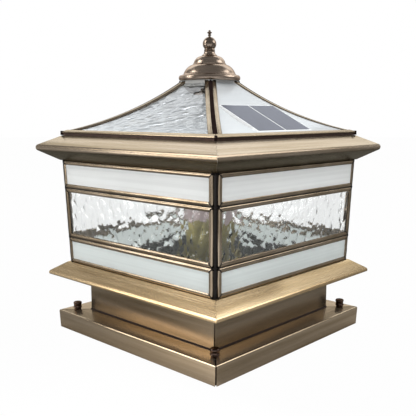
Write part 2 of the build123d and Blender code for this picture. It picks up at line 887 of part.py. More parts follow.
def main():
    """Builds every piece and writes it as its own node."""
    os.makedirs("parts", exist_ok=True)
    write("mounting_plate", mounting_plate())
    write("base_tray", *base_tray())
    write("neck_box", *neck_box())
    write("skirt", *skirt())
    write("floor_plate", floor_plate())
    write("corner_posts", *[Rot(0, 0, turn) * corner_post() for turn in SIDES.values()])
    write("cornice", *cornice())
    write("crossbar", crossbar())
    write("rivets", *rivets())
    write("centre_rod", centre_rod())

    strips = wall_frame()
    for side in SIDES:
        write(f"{side}_wall_frame", *[to_side(strip, side) for strip in strips])
        for band, low, high in wall_bands():
            write(f"{side}_{band}_pane", to_side(wall_pane(low, high), side))

    write("lamp_column", lamp_column())
    write("column_lid", column_lid())
    write("battery_cells", *battery_cells())
    write("battery_cradle", battery_cradle())
    write("charge_board", charge_board())
    write("led_board", led_board())
    write("lamp_diffuser", lamp_diffuser())
    write("lead_socket", lead_socket())
    write("power_button", power_button())

    write("roof_rim", *roof_rim())
    write("hip_bars", *[Rot(0, 0, turn) * hip_bar() for turn in SIDES.values()])
    hips = hip_strips()
    plain_sheet = roof_sheet()
    opal_sheet = opal_roof_sheet()
    for side in SIDES:
        write(f"{side}_hip_strips", *[to_side(strip, side) for strip in hips])
        write(f"{side}_roof_pane", to_side(opal_sheet if side == "right" else plain_sheet, side))
    write("roof_collar", roof_collar())
    write("roof_cap", roof_cap())
    write("solar_panel", solar_panel())
    write("solar_cells", *solar_cells())
    write("solar_lead", solar_lead())
    write("finial_seat", finial_seat())
    write("finial", finial())

    for name, (x, y) in CORNERS.items():
        write(f"{name}_nut", thumb_nut(x * stud_spacing / 2, y * stud_spacing / 2))
        write(f"{name}_washer", nut_washer(x * stud_spacing / 2, y * stud_spacing / 2))


main()
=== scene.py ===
import math

import bmesh
import bpy
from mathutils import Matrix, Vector


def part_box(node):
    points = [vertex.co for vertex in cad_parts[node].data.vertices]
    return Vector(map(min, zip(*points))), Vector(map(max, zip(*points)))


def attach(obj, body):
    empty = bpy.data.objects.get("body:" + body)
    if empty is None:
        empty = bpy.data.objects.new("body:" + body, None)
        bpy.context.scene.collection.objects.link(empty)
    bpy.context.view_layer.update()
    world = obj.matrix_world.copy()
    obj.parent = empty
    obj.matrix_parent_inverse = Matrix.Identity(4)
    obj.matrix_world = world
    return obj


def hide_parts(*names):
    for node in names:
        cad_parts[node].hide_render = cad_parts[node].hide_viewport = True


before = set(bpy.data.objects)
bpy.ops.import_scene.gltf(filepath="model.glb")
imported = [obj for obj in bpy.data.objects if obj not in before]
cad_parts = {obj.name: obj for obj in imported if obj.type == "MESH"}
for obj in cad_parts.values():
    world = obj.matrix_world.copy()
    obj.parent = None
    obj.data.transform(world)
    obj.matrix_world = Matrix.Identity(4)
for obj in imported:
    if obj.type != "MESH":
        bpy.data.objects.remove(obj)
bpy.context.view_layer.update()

bl_info = {
    "name": "Solar pillar light",
    "version": (1, 0, 0),
    "blender": (4, 5, 0),
    "location": "View3D > Sidebar > Pillar Light",
    "description": "Models and finishes a square brass pillar lantern with a solar roof around its fixed frame",
    "category": "Object",
}

# Sides and corners of the square plan, with each side's turn from +X in degrees
SIDES = {"right": 0.0, "back": 90.0, "left": 180.0, "front": 270.0}
CORNERS = ("front_right", "back_right", "back_left", "front_left")

# Base and mouldings, in metres, with the thickness of their sheet and the radius of a tight fold in it
TRAY_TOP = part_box("base_tray")[1].z
TRAY_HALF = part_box("base_tray")[1].x
TRAY_SHEET = 0.0015
NECK_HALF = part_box("neck_box")[1].x
SKIRT_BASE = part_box("skirt")[0].z
SKIRT_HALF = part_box("skirt")[1].x
CORNICE_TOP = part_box("cornice")[1].z
EAVE_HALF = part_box("cornice")[1].x
MOULDING_SHEET = 0.0012
MOULDING_SEAM = 0.00012
FOLD = 0.0016

# Walls: they lean out by the flare, and stop short of the body's corner at the post's notch
WALL_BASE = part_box("corner_posts")[0].z
WALL_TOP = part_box("corner_posts")[1].z
WALL_RISE = WALL_TOP - WALL_BASE
FLARE = 0.0046
POST_INSET = 0.0016
POST_NOTCH = 0.0046
BODY_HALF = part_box("corner_posts")[1].x - FLARE + POST_INSET
WALL_HALF = BODY_HALF - POST_NOTCH
CAME = 0.0036
CAME_GAP = 0.0005
PANE_INSET = 0.0029
LEAN = math.atan2(FLARE, WALL_RISE)
WALL_LENGTH = WALL_RISE / math.cos(LEAN) - CAME * math.tan(LEAN) - 0.0001
FRAME_SEAMS = (0.0316, 0.0930)
LEVELS = [share * WALL_LENGTH for share in (0.0, *(height / WALL_RISE for height in FRAME_SEAMS), 1.0)]
ROWS = list(zip(LEVELS, LEVELS[1:]))

# Roof: its slopes sag along an arc between the rim and the collar
RIM_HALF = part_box("roof_rim")[1].x
RIM_BASE = CORNICE_TOP + 0.0002
RIM_TOP = RIM_BASE + 0.00485
COLLAR_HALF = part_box("roof_collar")[1].x
ROOF_RISE = 0.0599
ROOF_SAG = 0.0074
HIP_GROOVE = 0.0033
HIP_STRIP = 0.0072
HIP_DEPTH = 0.0047
STRIP_END = RIM_HALF - 0.0065
GLASS = 0.0014

# Turned pieces
CAP_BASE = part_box("roof_cap")[0].z
SEAT_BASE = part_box("finial_seat")[0].z
FINIAL_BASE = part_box("finial")[0].z
NUT_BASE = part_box("front_right_nut")[0].z
NUT_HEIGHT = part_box("front_right_nut")[1].z - NUT_BASE
NUT_RADIUS = 0.0052
NUT_BORE = 0.0027
WASHER_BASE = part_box("front_right_washer")[0].z

# Points nearer than this are one point
SAME = 1e-6


def roof_arc():
    """Centre and radius of the arc along the top of the hip strips, in distance from the axis and height."""
    low = Vector((RIM_HALF, RIM_TOP))
    high = Vector((COLLAR_HALF, RIM_TOP + ROOF_RISE))
    chord = (low - high).length
    radius = chord * chord / (8 * ROOF_SAG) + ROOF_SAG / 2
    along = (low - high).normalized()
    return (low + high) / 2 + Vector((-along.y, along.x)) * (radius - ROOF_SAG), radius


ARC_CENTRE, ARC_RADIUS = roof_arc()


def roof_height(distance, depth=0.0):
    """Height of the roof at a distance from the axis, at a depth below the strips' top."""
    return ARC_CENTRE.y - math.sqrt((ARC_RADIUS + depth) ** 2 - (ARC_CENTRE.x - distance) ** 2)


# Modelling steps


def select_all():
    """Selects the whole mesh in edit mode."""
    bpy.ops.mesh.select_all(action="SELECT")


def select_where(kind, test):
    """Selects only the edges or faces of the mesh in edit mode that pass a test."""
    bpy.ops.mesh.select_all(action="DESELECT")
    bpy.ops.mesh.select_mode(type=kind)
    data = bpy.context.object.data
    mesh = bmesh.from_edit_mesh(data)
    for item in mesh.edges if kind == "EDGE" else mesh.faces:
        item.select_set(bool(test(item)))
    mesh.select_flush_mode()
    bmesh.update_edit_mesh(data)


def run_y(edge):
    """How far an edge runs along Y."""
    return abs(edge.verts[0].co.y - edge.verts[1].co.y)


def only(*pieces):
    """Selects only these pieces, the last one active."""
    bpy.ops.object.select_all(action="DESELECT")
    for piece in pieces:
        piece.select_set(True)
        bpy.context.view_layer.objects.active = piece


def label(piece, name):
    """Names a piece and its mesh."""
    piece.name = name
    piece.data.name = name


def begin(name, kind, **sizes):
    """Adds a primitive with nothing else selected, names it and opens its mesh."""
    bpy.ops.object.select_all(action="DESELECT")
    getattr(bpy.ops.mesh, f"primitive_{kind}_add")(**sizes)
    piece = bpy.context.object
    label(piece, name)
    bpy.ops.object.mode_set(mode="EDIT")
    bpy.ops.mesh.select_mode(type="VERT")
    select_all()
    return piece


def open_mesh(piece):
    """Opens a piece's mesh in edit mode with all of it selected."""
    only(piece)
    bpy.ops.object.mode_set(mode="EDIT")
    select_all()


def close_mesh():
    """Leaves edit mode."""
    bpy.ops.object.mode_set(mode="OBJECT")


def leave(angle=35.0):
    """Merges doubles, turns the faces outwards, leaves edit mode and smooths the shading."""
    select_all()
    bpy.ops.mesh.remove_doubles(threshold=SAME)
    bpy.ops.mesh.normals_make_consistent(inside=False)
    close_mesh()
    smooth(bpy.context.object, angle)


def smooth(piece, angle):
    """Shades a piece smooth, apart from edges sharper than an angle in degrees."""
    only(piece)
    bpy.ops.object.shade_smooth_by_angle(angle=math.radians(angle))


def move(vector):
    """Moves what is selected along a vector."""
    bpy.ops.transform.translate(value=vector)


def extrude(vector):
    """Extrudes what is selected along a vector."""
    bpy.ops.mesh.extrude_region_move(TRANSFORM_OT_translate={"value": vector})


def cut(point, normal, fill=True):
    """Cuts the mesh by a plane and removes what lies beyond it."""
    select_all()
    bpy.ops.mesh.bisect(plane_co=point, plane_no=normal, use_fill=fill, clear_outer=True)


def mitre(seam, fill=True):
    """Cuts both ends of a length on the +X side along the plan's diagonals, set back by a seam."""
    for way in (1, -1):
        cut((seam, 0, 0), (-1, way, 0), fill)


def dot(name, where):
    """A single vertex at a place, in edit mode."""
    piece = begin(name, "plane", size=0.01)
    bpy.ops.mesh.merge(type="CENTER")
    move(where)
    return piece


def draw(name, points, close=False):
    """Draws a line through points by extruding one vertex, and fills it where it closes."""
    piece = dot(name, points[0])
    for here, there in zip(points, points[1:]):
        bpy.ops.mesh.extrude_vertices_move(TRANSFORM_OT_translate={"value": Vector(there) - Vector(here)})
    select_all()
    if close:
        bpy.ops.mesh.edge_face_add()
    return piece


def cube(name, size):
    """A block of a size about the origin, in edit mode."""
    piece = begin(name, "cube", size=1.0)
    bpy.ops.transform.resize(value=size)
    return piece


def ball(name, size, where, rings):
    """A flattened ball at a place."""
    piece = begin(name, "uv_sphere", radius=1.0, segments=2 * rings, ring_count=rings)
    bpy.ops.transform.resize(value=size)
    move(where)
    leave(80)
    return piece


def flip(piece):
    """Turns a piece's faces to the other side."""
    open_mesh(piece)
    bpy.ops.mesh.flip_normals()
    close_mesh()


def face_up(piece):
    """Turns an open sheet's faces upwards."""
    if sum(face.normal.z * face.area for face in piece.data.polygons) < 0:
        flip(piece)


def modify(piece, kind, **values):
    """Adds a modifier with its values and applies it."""
    only(piece)
    bpy.ops.object.modifier_add(type=kind)
    modifier = piece.modifiers[-1]
    for key, value in values.items():
        setattr(modifier, key, value)
    bpy.ops.object.modifier_apply(modifier=modifier.name)


def roughen(piece, name, size, strength, level, direction="NORMAL"):
    """Raises soft lumps of a size on a piece."""
    lumps = bpy.data.textures.new(name, "CLOUDS")
    lumps.noise_scale = size
    modify(piece, "DISPLACE", texture=lumps, texture_coords="LOCAL", direction=direction,
           strength=strength, mid_level=level)


def settle(piece):
    """Makes a piece's place and turn part of its mesh."""
    only(piece)
    bpy.ops.object.transform_apply(location=True, rotation=True, scale=True)


def copied(piece, name, turn=0.0, shift=(0, 0, 0), axis=2):
    """A copy with its own mesh, turned about an axis through the origin and then moved."""
    only(piece)
    bpy.ops.object.duplicate(linked=False)
    copy = bpy.context.object
    label(copy, name)
    copy.rotation_euler[axis] = math.radians(turn)
    copy.location = shift
    settle(copy)
    return copy


def mirrored(piece, name):
    """A copy with its own mesh, mirrored to the other side of the XZ plane."""
    other = copied(piece, name)
    open_mesh(other)
    bpy.ops.transform.mirror(constraint_axis=(False, True, False), center_override=(0, 0, 0))
    leave(50)
    return other


def joined(name, *pieces):
    """Joins pieces into one and names it."""
    only(*pieces)
    bpy.ops.object.join()
    whole = bpy.context.object
    label(whole, name)
    return whole


def four_sides(piece):
    """Joins a piece on the +X side with its copies on the other three sides."""
    name = piece.name
    others = [copied(piece, f"{name}_{side}", turn) for side, turn in SIDES.items() if turn]
    return joined(name, *others, piece)


def fit(piece, body, *nodes, slot):
    """Lets a piece ride on a body and stand for CAD nodes."""
    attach(piece, body)
    if nodes:
        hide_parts(*nodes)


def dress(piece, finish, body, *nodes, slot):
    """Gives a piece its finish and fits it to a body and CAD nodes."""
    piece.data.materials.clear()
    piece.data.materials.append(finish)
    fit(piece, body, *nodes, slot=slot)


def dress_each_side(piece, name, finish, body, part, slot):
    """Dresses a copy of a piece from the +X side on each of the four sides, and removes the piece."""
    for side, turn in SIDES.items():
        dress(copied(piece, f"{side}_{name}", turn), finish, body, f"{side}_{part}", slot=slot)
    bpy.data.objects.remove(piece)


def paint(finish, *nodes):
    """Gives CAD nodes that stay as they are a finish."""
    for name in nodes:
        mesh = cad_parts[name].data
        mesh.materials.clear()
        mesh.materials.append(finish)


def mitred_bar(name, outline, half, seam, angle=35.0):
    """A solid length on the +X side, mitred at both ends, from its outline of distance and height."""
    piece = draw(name, [(r, -half, z) for r, z in outline], close=True)
    extrude((0, 2 * half, 0))
    mitre(seam)
    leave(angle)
    return piece


def fold_edge(edge, r, z):
    """Whether an edge along Y lies at a distance and height."""
    return all(abs(v.co.x - r) < SAME and abs(v.co.z - z) < SAME for v in edge.verts)


def bent_length(name, points, radii, sheet, seam):
    """A mitred length of bent sheet on the +X side, from its outer line of distance and height."""
    half = max(r for r, z in points)
    piece = draw(name, [(r, -half, z) for r, z in points])
    extrude((0, 2 * half, 0))
    for before, fold, after, radius in zip(points, points[1:], points[2:], radii):
        turn = math.pi - (Vector(before) - Vector(fold)).angle(Vector(after) - Vector(fold))
        select_where("EDGE", lambda edge: fold_edge(edge, *fold))
        bpy.ops.mesh.bevel(offset=radius * math.tan(turn / 2), segments=6, profile=0.5, affect="EDGES")
    close_mesh()
    outermost = max(piece.data.polygons, key=lambda face: face.center.x)
    if outermost.normal.x < 0:
        flip(piece)
    modify(piece, "SOLIDIFY", thickness=sheet, offset=-1.0, use_even_offset=True)
    open_mesh(piece)
    mitre(seam)
    leave(40)
    return piece


def turned(name, outline, base, steps):
    """A piece turned on the lathe about Z, from points of radius and height above its base."""
    piece = draw(name, [(r, 0, base + h) for r, h in outline])
    bpy.ops.mesh.spin(steps=steps, angle=2 * math.pi, center=(0, 0, 0), axis=(0, 0, 1))
    leave(40)
    return piece


# Finishes


def feed(tree, made, inputs):
    """Gives a shader node's inputs their values and links."""
    for key, value in inputs.items():
        if isinstance(value, bpy.types.NodeSocket):
            tree.links.new(value, made.inputs[key])
        else:
            made.inputs[key].default_value = value


def node(tree, kind, inputs=None, **settings):
    """Adds a shader node with its settings, values and links."""
    made = tree.nodes.new(kind)
    for key, value in settings.items():
        setattr(made, key, value)
    feed(tree, made, inputs or {})
    return made


def new_finish(name):
    """A material with its node tree and its main shader."""
    finish = bpy.data.materials.new(name)
    finish.use_nodes = True
    tree = finish.node_tree
    return finish, tree, tree.nodes["Principled BSDF"]


def show_mix(tree, share, first, second):
    """Shows a mix of two shaders as the finish."""
    mixed = node(tree, "ShaderNodeMixShader", {0: share, 1: first.outputs[0], 2: second.outputs[0]})
    tree.links.new(mixed.outputs[0], tree.nodes["Material Output"].inputs["Surface"])


def place(tree):
    """The object's own coordinates."""
    return node(tree, "ShaderNodeTexCoord").outputs["Object"]


def split(tree, vector):
    """The X, Y and Z of a vector."""
    return node(tree, "ShaderNodeSeparateXYZ", {0: vector}).outputs


def maths(tree, operation, a, b=0.0):
    """One step of arithmetic."""
    return node(tree, "ShaderNodeMath", {0: a, 1: b}, operation=operation).outputs[0]


def times(tree, a, b):
    """The product of two values."""
    return maths(tree, "MULTIPLY", a, b)


def between(tree, share, a, b):
    """A value between two values."""
    return node(tree, "ShaderNodeMix", {0: share, 2: a, 3: b}, data_type="FLOAT").outputs[0]


def span(tree, value, low, high, to_low=0.0, to_high=1.0):
    """Maps a value from one range to another, clamped."""
    return node(tree, "ShaderNodeMapRange", {0: value, 1: low, 2: high, 3: to_low, 4: to_high}).outputs[0]


def blend(tree, share, a, b, mode="MIX"):
    """Mixes two colours."""
    return node(tree, "ShaderNodeMix", {0: share, 6: a, 7: b}, data_type="RGBA", blend_type=mode).outputs[2]


def ramp(tree, value, stops):
    """A colour ramp with stops of place and colour."""
    made = node(tree, "ShaderNodeValToRGB", {0: value})
    band = made.color_ramp
    while len(band.elements) < len(stops):
        band.elements.new(0.5)
    for element, (where, colour) in zip(band.elements, stops):
        element.position = where
        element.color = (*colour, 1.0)
    return made.outputs[0]


def streaks(tree, vector, scale, detail=3.0, rough=0.6):
    """Noise of a scale, drawn out where its coordinates are."""
    return node(tree, "ShaderNodeTexNoise", {
        "Vector": vector, "Scale": scale, "Detail": detail, "Roughness": rough,
    }).outputs[0]


def relief(tree, height, strength, distance=0.0002):
    """A surface raised by a pattern."""
    return node(tree, "ShaderNodeBump", {
        "Strength": strength, "Distance": distance, "Height": height,
    }).outputs[0]


def on_x_sides(tree, axes):
    """1 on the lengths of a square ring on its X sides and 0 on the others, with both distances."""
    wide_x = maths(tree, "ABSOLUTE", axes[0])
    wide_y = maths(tree, "ABSOLUTE", axes[1])
    return maths(tree, "GREATER_THAN", wide_x, wide_y), wide_x, wide_y


def ring_place(tree, along, across):
    """Coordinates that run along each of the four lengths of a square ring, apart from one to the next."""
    start, apart = 0.5, 7.3
    axes = split(tree, place(tree))
    on_x, wide_x, wide_y = on_x_sides(tree, axes)
    run = between(tree, on_x, axes[0], axes[1])
    out = maths(tree, "MAXIMUM", wide_x, wide_y)
    quarter = maths(tree, "ADD", on_x, maths(tree, "GREATER_THAN", axes[0], axes[1]))
    return node(tree, "ShaderNodeCombineXYZ", {
        0: maths(tree, "ADD", times(tree, run, along), start),
        1: maths(tree, "ADD", times(tree, out, across), times(tree, quarter, apart)),
        2: times(tree, axes[2], across),
    }).outputs[0]


def run_direction(tree):
    """The direction along each of the four lengths of a square ring."""
    on_x = on_x_sides(tree, split(tree, place(tree)))[0]
    return node(tree, "ShaderNodeCombineXYZ", {0: maths(tree, "SUBTRACT", 1.0, on_x), 1: on_x}).outputs[0]


def shade_of(colour, factor):
    """A darker or lighter tone of a colour."""
    return tuple(min(1.0, c * factor) for c in colour[:3])


def toned(colour, factor, warm):
    """A darker or lighter tone of a metal, warmer or cooler."""
    return shade_of((colour[0], colour[1] * (1 - 0.05 * warm), colour[2] * (1 - 0.2 * warm)), factor)


def brushed_brass(name, tint, shade, gloss=0.24, ring=True, bright=1.0, warm=0.0):
    """Antique brass, brushed along its length, with dark streaks and painted shade on its undersides."""
    finish, tree, shader = new_finish(name)
    if ring:
        fine = streaks(tree, ring_place(tree, along=12.0, across=1300.0), scale=1.0)
        broad = streaks(tree, ring_place(tree, along=4.0, across=90.0), scale=1.0, detail=2.0)
    else:
        fine = streaks(tree, place(tree), scale=420.0)
        broad = streaks(tree, place(tree), scale=30.0, detail=2.0)
    # Each piece's tone factor paints light and shade into the colour: a lighter or darker copy of the same brass.
    colour = ramp(tree, broad, [(0.25, toned(shade, bright, warm)), (0.7, toned(tint, bright, warm))])
    scratches = ramp(tree, fine, [(0.32, (0.8, 0.78, 0.76)), (0.72, (1.1, 1.1, 1.1))])
    colour = blend(tree, 0.45 if ring else 0.25, colour, scratches, "MULTIPLY")
    # Painted shade: faces that look down are darkened towards a near-black brown, as if in shade.
    normal = node(tree, "ShaderNodeNewGeometry").outputs["Normal"]
    under = span(tree, split(tree, normal)[2], -0.2, -0.75, 0.0, 0.95)
    feed(tree, shader, {
        "Base Color": blend(tree, under, colour, (0.035, 0.034, 0.026, 1.0)),
        "Metallic": 0.9,
        "Specular Tint": (0.7, 0.64, 0.55, 1.0),
        "Roughness": span(tree, fine, 0.3, 0.7, gloss - 0.02, gloss + 0.02),
        "Normal": relief(tree, fine, strength=0.02),
    })
    if ring:
        feed(tree, shader, {"Anisotropic": 0.7, "Anisotropic Rotation": 0.25, "Tangent": run_direction(tree)})
    return finish


def lantern_brass(look, name, **values):
    """Brushed brass in the tones that are set for the lantern."""
    return brushed_brass(name, look.brass, look.brass_shade, **values)


def spun_bronze(name, tint, shade, gloss):
    """Bronze with fine rings from the spinning lathe."""
    finish, tree, shader = new_finish(name)
    rings_a_metre = 900.0
    axes = split(tree, place(tree))
    squares = maths(tree, "ADD", times(tree, axes[0], axes[0]), times(tree, axes[1], axes[1]))
    rings = node(tree, "ShaderNodeCombineXYZ", {
        0: times(tree, maths(tree, "SQRT", squares), rings_a_metre),
        2: times(tree, axes[2], rings_a_metre),
    }).outputs[0]
    fine = streaks(tree, rings, scale=1.0)
    colour = ramp(tree, streaks(tree, place(tree), scale=60.0), [(0.3, shade), (0.7, tint)])
    grooves = ramp(tree, fine, [(0.3, (0.7, 0.68, 0.66)), (0.7, (1.1, 1.1, 1.08))])
    feed(tree, shader, {
        "Base Color": blend(tree, 0.6, colour, grooves, "MULTIPLY"),
        "Metallic": 1.0,
        "Specular Tint": (0.55, 0.48, 0.43, 1.0),
        "Roughness": span(tree, fine, 0.3, 0.7, gloss - 0.05, gloss + 0.08),
        "Normal": relief(tree, fine, strength=0.08),
    })
    return finish


def dark_metal(name, tint, shade, gloss, metal=0.0, grain=500.0, shine=0.2):
    """Dark solder, patina or paint with a mottled surface."""
    finish, tree, shader = new_finish(name)
    mottle = streaks(tree, place(tree), grain, detail=4.0, rough=0.65)
    feed(tree, shader, {
        "Base Color": ramp(tree, mottle, [(0.35, shade), (0.7, tint)]),
        "Roughness": span(tree, mottle, 0.3, 0.7, gloss + 0.1, gloss - 0.05),
        "Metallic": metal,
        "Specular IOR Level": shine,
        "Normal": relief(tree, mottle, strength=0.3, distance=0.0004),
    })
    return finish


def milk_glass(name, tint, shade, ior=1.5, open_share=0.42):
    """White glass with faint streaks along the pane."""
    finish, tree, shader = new_finish(name)
    bands = streaks(tree, ring_place(tree, along=2.0, across=240.0), scale=1.0, rough=0.5)
    cloud = streaks(tree, place(tree), scale=14.0, detail=2.0)
    colour = ramp(tree, bands, [(0.38, shade), (0.58, tint)])
    colour = blend(tree, 0.25, colour, ramp(tree, cloud, [(0.35, shade), (0.65, tint)]))
    feed(tree, shader, {"Base Color": colour, "Roughness": 0.14, "IOR": ior})
    show_mix(tree, open_share, shader, node(tree, "ShaderNodeBsdfTranslucent", {"Color": colour}))
    return finish


def clear_glass(name, tint, ior=1.5, crackle=0.3):
    """Clear patterned glass that lets the lamps' light through."""
    finish, tree, shader = new_finish(name)
    cloud = streaks(tree, place(tree), scale=55.0)
    fine = streaks(tree, place(tree), scale=320.0, detail=2.0)
    feed(tree, shader, {
        "Base Color": ramp(tree, cloud, [(0.3, shade_of(tint, 0.97)), (0.7, tint)]),
        "Roughness": 0.02,
        "IOR": ior,
        "Transmission Weight": 1.0,
        "Normal": relief(tree, fine, crackle, distance=0.0004),
    })
    rays = node(tree, "ShaderNodeLightPath").outputs
    lit = maths(tree, "MAXIMUM", rays["Is Shadow Ray"], rays["Is Diffuse Ray"])
    show_mix(tree, lit, shader, node(tree, "ShaderNodeBsdfTransparent", {"Color": (0.94, 0.95, 0.95, 1.0)}))
    return finish


def plain_mould(name, tint, shade, gloss, metal=0.0, grain=300.0):
    """Moulded plastic, board, rubber or galvanised steel with a fine grain."""
    finish, tree, shader = new_finish(name)
    mottle = streaks(tree, place(tree), grain)
    feed(tree, shader, {
        "Base Color": ramp(tree, mottle, [(0.3, shade), (0.7, tint)]),
        "Roughness": span(tree, mottle, 0.3, 0.7, gloss + 0.06, gloss - 0.06),
        "Metallic": metal,
        "Normal": relief(tree, mottle, strength=0.1),
    })
    return finish


def silicon(name, tint, shade):
    """Solar cells: blue-grey, with fine contact lines across the slope and a white gap between the two."""
    finish, tree, shader = new_finish(name)
    lines_a_metre, line_share, half_gap = 130.0, 0.06, 0.0009
    axes = split(tree, place(tree))
    wave = maths(tree, "FRACT", times(tree, axes[0], lines_a_metre))
    line = maths(tree, "LESS_THAN", wave, line_share)
    middle = maths(tree, "LESS_THAN", maths(tree, "ABSOLUTE", axes[1]), half_gap)
    colour = ramp(tree, streaks(tree, place(tree), scale=90.0), [(0.3, shade), (0.7, tint)])
    colour = blend(tree, times(tree, line, 0.35), colour, (0.02, 0.02, 0.03, 1.0))
    colour = blend(tree, middle, colour, (0.72, 0.73, 0.72, 1.0))
    feed(tree, shader, {"Base Color": colour, "Roughness": 0.4, "IOR": 1.4})
    return finish


# Settings

COLOUR = {"subtype": "COLOR", "size": 3, "min": 0.0, "max": 1.0}


class PillarLightFinish(bpy.types.PropertyGroup):
    """Colours and glass of the pillar light."""

    brass: bpy.props.FloatVectorProperty(
        name="Brass", description="Light tone of the brushed brass", default=(0.70, 0.555, 0.385), **COLOUR)
    brass_shade: bpy.props.FloatVectorProperty(
        name="Brass shade", description="Dark tone of the brushed brass", default=(0.40, 0.295, 0.175), **COLOUR)
    bronze: bpy.props.FloatVectorProperty(
        name="Bronze", description="Light tone of the cap and finial", default=(0.50, 0.402, 0.328), **COLOUR)
    milk: bpy.props.FloatVectorProperty(
        name="Milk glass", description="Light tone of the white panes", default=(0.905, 0.945, 0.94), **COLOUR)
    cell: bpy.props.FloatVectorProperty(
        name="Solar cell", description="Colour of the solar cells", default=(0.042, 0.043, 0.078), **COLOUR)
    ripple_height: bpy.props.FloatProperty(
        name="Ripple height", description="Height of the relief on the hammered glass", unit="LENGTH",
        min=0.0, max=0.002, default=0.0011)
    ripple_size: bpy.props.FloatProperty(
        name="Ripple size", description="Size of one dimple of the hammered glass", unit="LENGTH",
        min=0.002, max=0.05, default=0.0105)


class PillarLightStage(bpy.types.PropertyGroup):
    """Camera and studio light."""

    lens: bpy.props.FloatProperty(
        name="Lens", description="Focal length on a 36 mm sensor", subtype="DISTANCE_CAMERA", default=55.06)
    camera: bpy.props.FloatVectorProperty(
        name="Camera", description="Place of the camera", subtype="TRANSLATION", size=3,
        default=(0.53587, -0.57295, 0.26663))
    heading: bpy.props.FloatProperty(
        name="Heading", description="Turn of the camera about the upright axis", subtype="ANGLE",
        default=math.radians(43.22))
    pitch: bpy.props.FloatProperty(
        name="Pitch", description="How far the camera looks down", subtype="ANGLE", default=math.radians(8.4))
    lamp_power: bpy.props.FloatProperty(
        name="Lamp power", description="Power of a soft box with a share of 1", subtype="POWER", default=6.0)
    sky: bpy.props.FloatProperty(
        name="Room light", description="Strength of the even light from the room", min=0.0, default=1.2)


# Pieces


class PILLARLIGHT_OT_base(bpy.types.Operator):
    """Models the base tray, the neck and the dark seams at their joints, partly solder and partly painted shade
    """

    bl_idname = "pillarlight.base"
    bl_label = "Base tray and neck"

    def execute(self, context):
        look = context.scene.pillar_finish
        # Painted light and shade: the tray's brass is a slightly darker copy, and the neck's a much darker one,
        # as shade under the skirt.
        brass = lantern_brass(look, "tray_brass", gloss=0.15, bright=0.95, warm=-0.3)
        dark_brass = lantern_brass(look, "neck_brass", bright=0.6, warm=-0.5)
        dark = dark_metal("seam_solder_and_shade", (0.03, 0.012, 0.009), (0.012, 0.006, 0.005), gloss=0.6)
        edge_bevel = {"width": 0.0003, "segments": 2}

        # Tray: a flat top, open corners and sides that lean in towards the bottom
        tray_inner, side_lean, open_corner = 0.0945, 0.001, 0.0010
        line = [(tray_inner, TRAY_TOP), (TRAY_HALF, TRAY_TOP), (TRAY_HALF - side_lean, 0.0)]
        tray = bent_length("tray", line, [FOLD], TRAY_SHEET, open_corner)
        dress(four_sides(tray), brass, "lantern", "base_tray", slot="antique_brass")

        # Neck: four flat sheets between the tray and the skirt
        neck_gap = 0.0005
        inner = NECK_HALF - TRAY_SHEET
        top = WALL_BASE - MOULDING_SHEET
        outline = [(inner, TRAY_TOP), (NECK_HALF, TRAY_TOP), (NECK_HALF, top), (inner, top)]
        neck = mitred_bar("neck", outline, NECK_HALF, neck_gap)
        modify(neck, "BEVEL", **edge_bevel)
        dress(four_sides(neck), dark_brass, "lantern", "neck_box", slot="antique_brass")

        # Solder along the neck's foot, dark also as painted shade of the joint, and the backing of the tray's
        # open corners, painted dark as the shade in the gaps
        wide, high, lap = 0.0011, 0.0016, 0.0004
        outline = [(NECK_HALF, TRAY_TOP), (NECK_HALF + wide, TRAY_TOP), (NECK_HALF, TRAY_TOP + high)]
        seam = mitred_bar("neck_seam", outline, NECK_HALF, -lap)
        dress(four_sides(seam), dark, "lantern", slot="dark_patina")
        side, inset = 0.002, 0.0035
        corner = TRAY_HALF - inset
        backing = cube("tray_seam", (side, side, TRAY_TOP - 2 * side))
        move((corner, corner, TRAY_TOP / 2 - TRAY_SHEET))
        leave()
        modify(backing, "BEVEL", **edge_bevel)
        dress(four_sides(backing), dark, "lantern", slot="dark_patina")
        return {"FINISHED"}


class PILLARLIGHT_OT_mouldings(bpy.types.Operator):
    """Models the skirt under the walls and the cornice above them"""

    bl_idname = "pillarlight.mouldings"
    bl_label = "Skirt and cornice"

    def execute(self, context):
        look = context.scene.pillar_finish
        # Skirt: from under the walls down to a rounded nose and back to the neck
        inner, shelf, nose, bend = 0.1005, 0.0006, 0.0042, 0.0035
        line = [(inner, WALL_BASE), (BODY_HALF + shelf, WALL_BASE), (SKIRT_HALF, SKIRT_BASE + nose),
                (SKIRT_HALF, SKIRT_BASE), (NECK_HALF, SKIRT_BASE)]
        skirt = bent_length("skirt_lengths", line, [FOLD, bend, FOLD], MOULDING_SHEET, MOULDING_SEAM)
        # Painted light: the skirt's brass is a lighter copy.
        brass = lantern_brass(look, "skirt_brass", gloss=0.26, bright=1.3, warm=0.7)
        dress(four_sides(skirt), brass, "lantern", "skirt", slot="antique_brass")

        # Cornice: out from the walls' top to a rounded nose and in under the rim
        inner, top_inner, set_back = 0.1115, 0.114, 0.001
        rise, nose, bend = 0.0129, 0.0054, 0.0038
        nose_base = WALL_TOP + rise
        line = [(inner, WALL_TOP), (BODY_HALF + FLARE, WALL_TOP), (EAVE_HALF, nose_base),
                (EAVE_HALF, nose_base + nose), (RIM_HALF - set_back, CORNICE_TOP), (top_inner, CORNICE_TOP)]
        cornice = bent_length("cornice_lengths", line, [FOLD, bend, bend, FOLD], MOULDING_SHEET, MOULDING_SEAM)
        # Painted light and shade: the cornice's brass is a darker copy.
        brass = lantern_brass(look, "cornice_brass", gloss=0.26, bright=0.68, warm=-1.0)
        dress(four_sides(cornice), brass, "lantern", "cornice", slot="antique_brass")
        return {"FINISHED"}


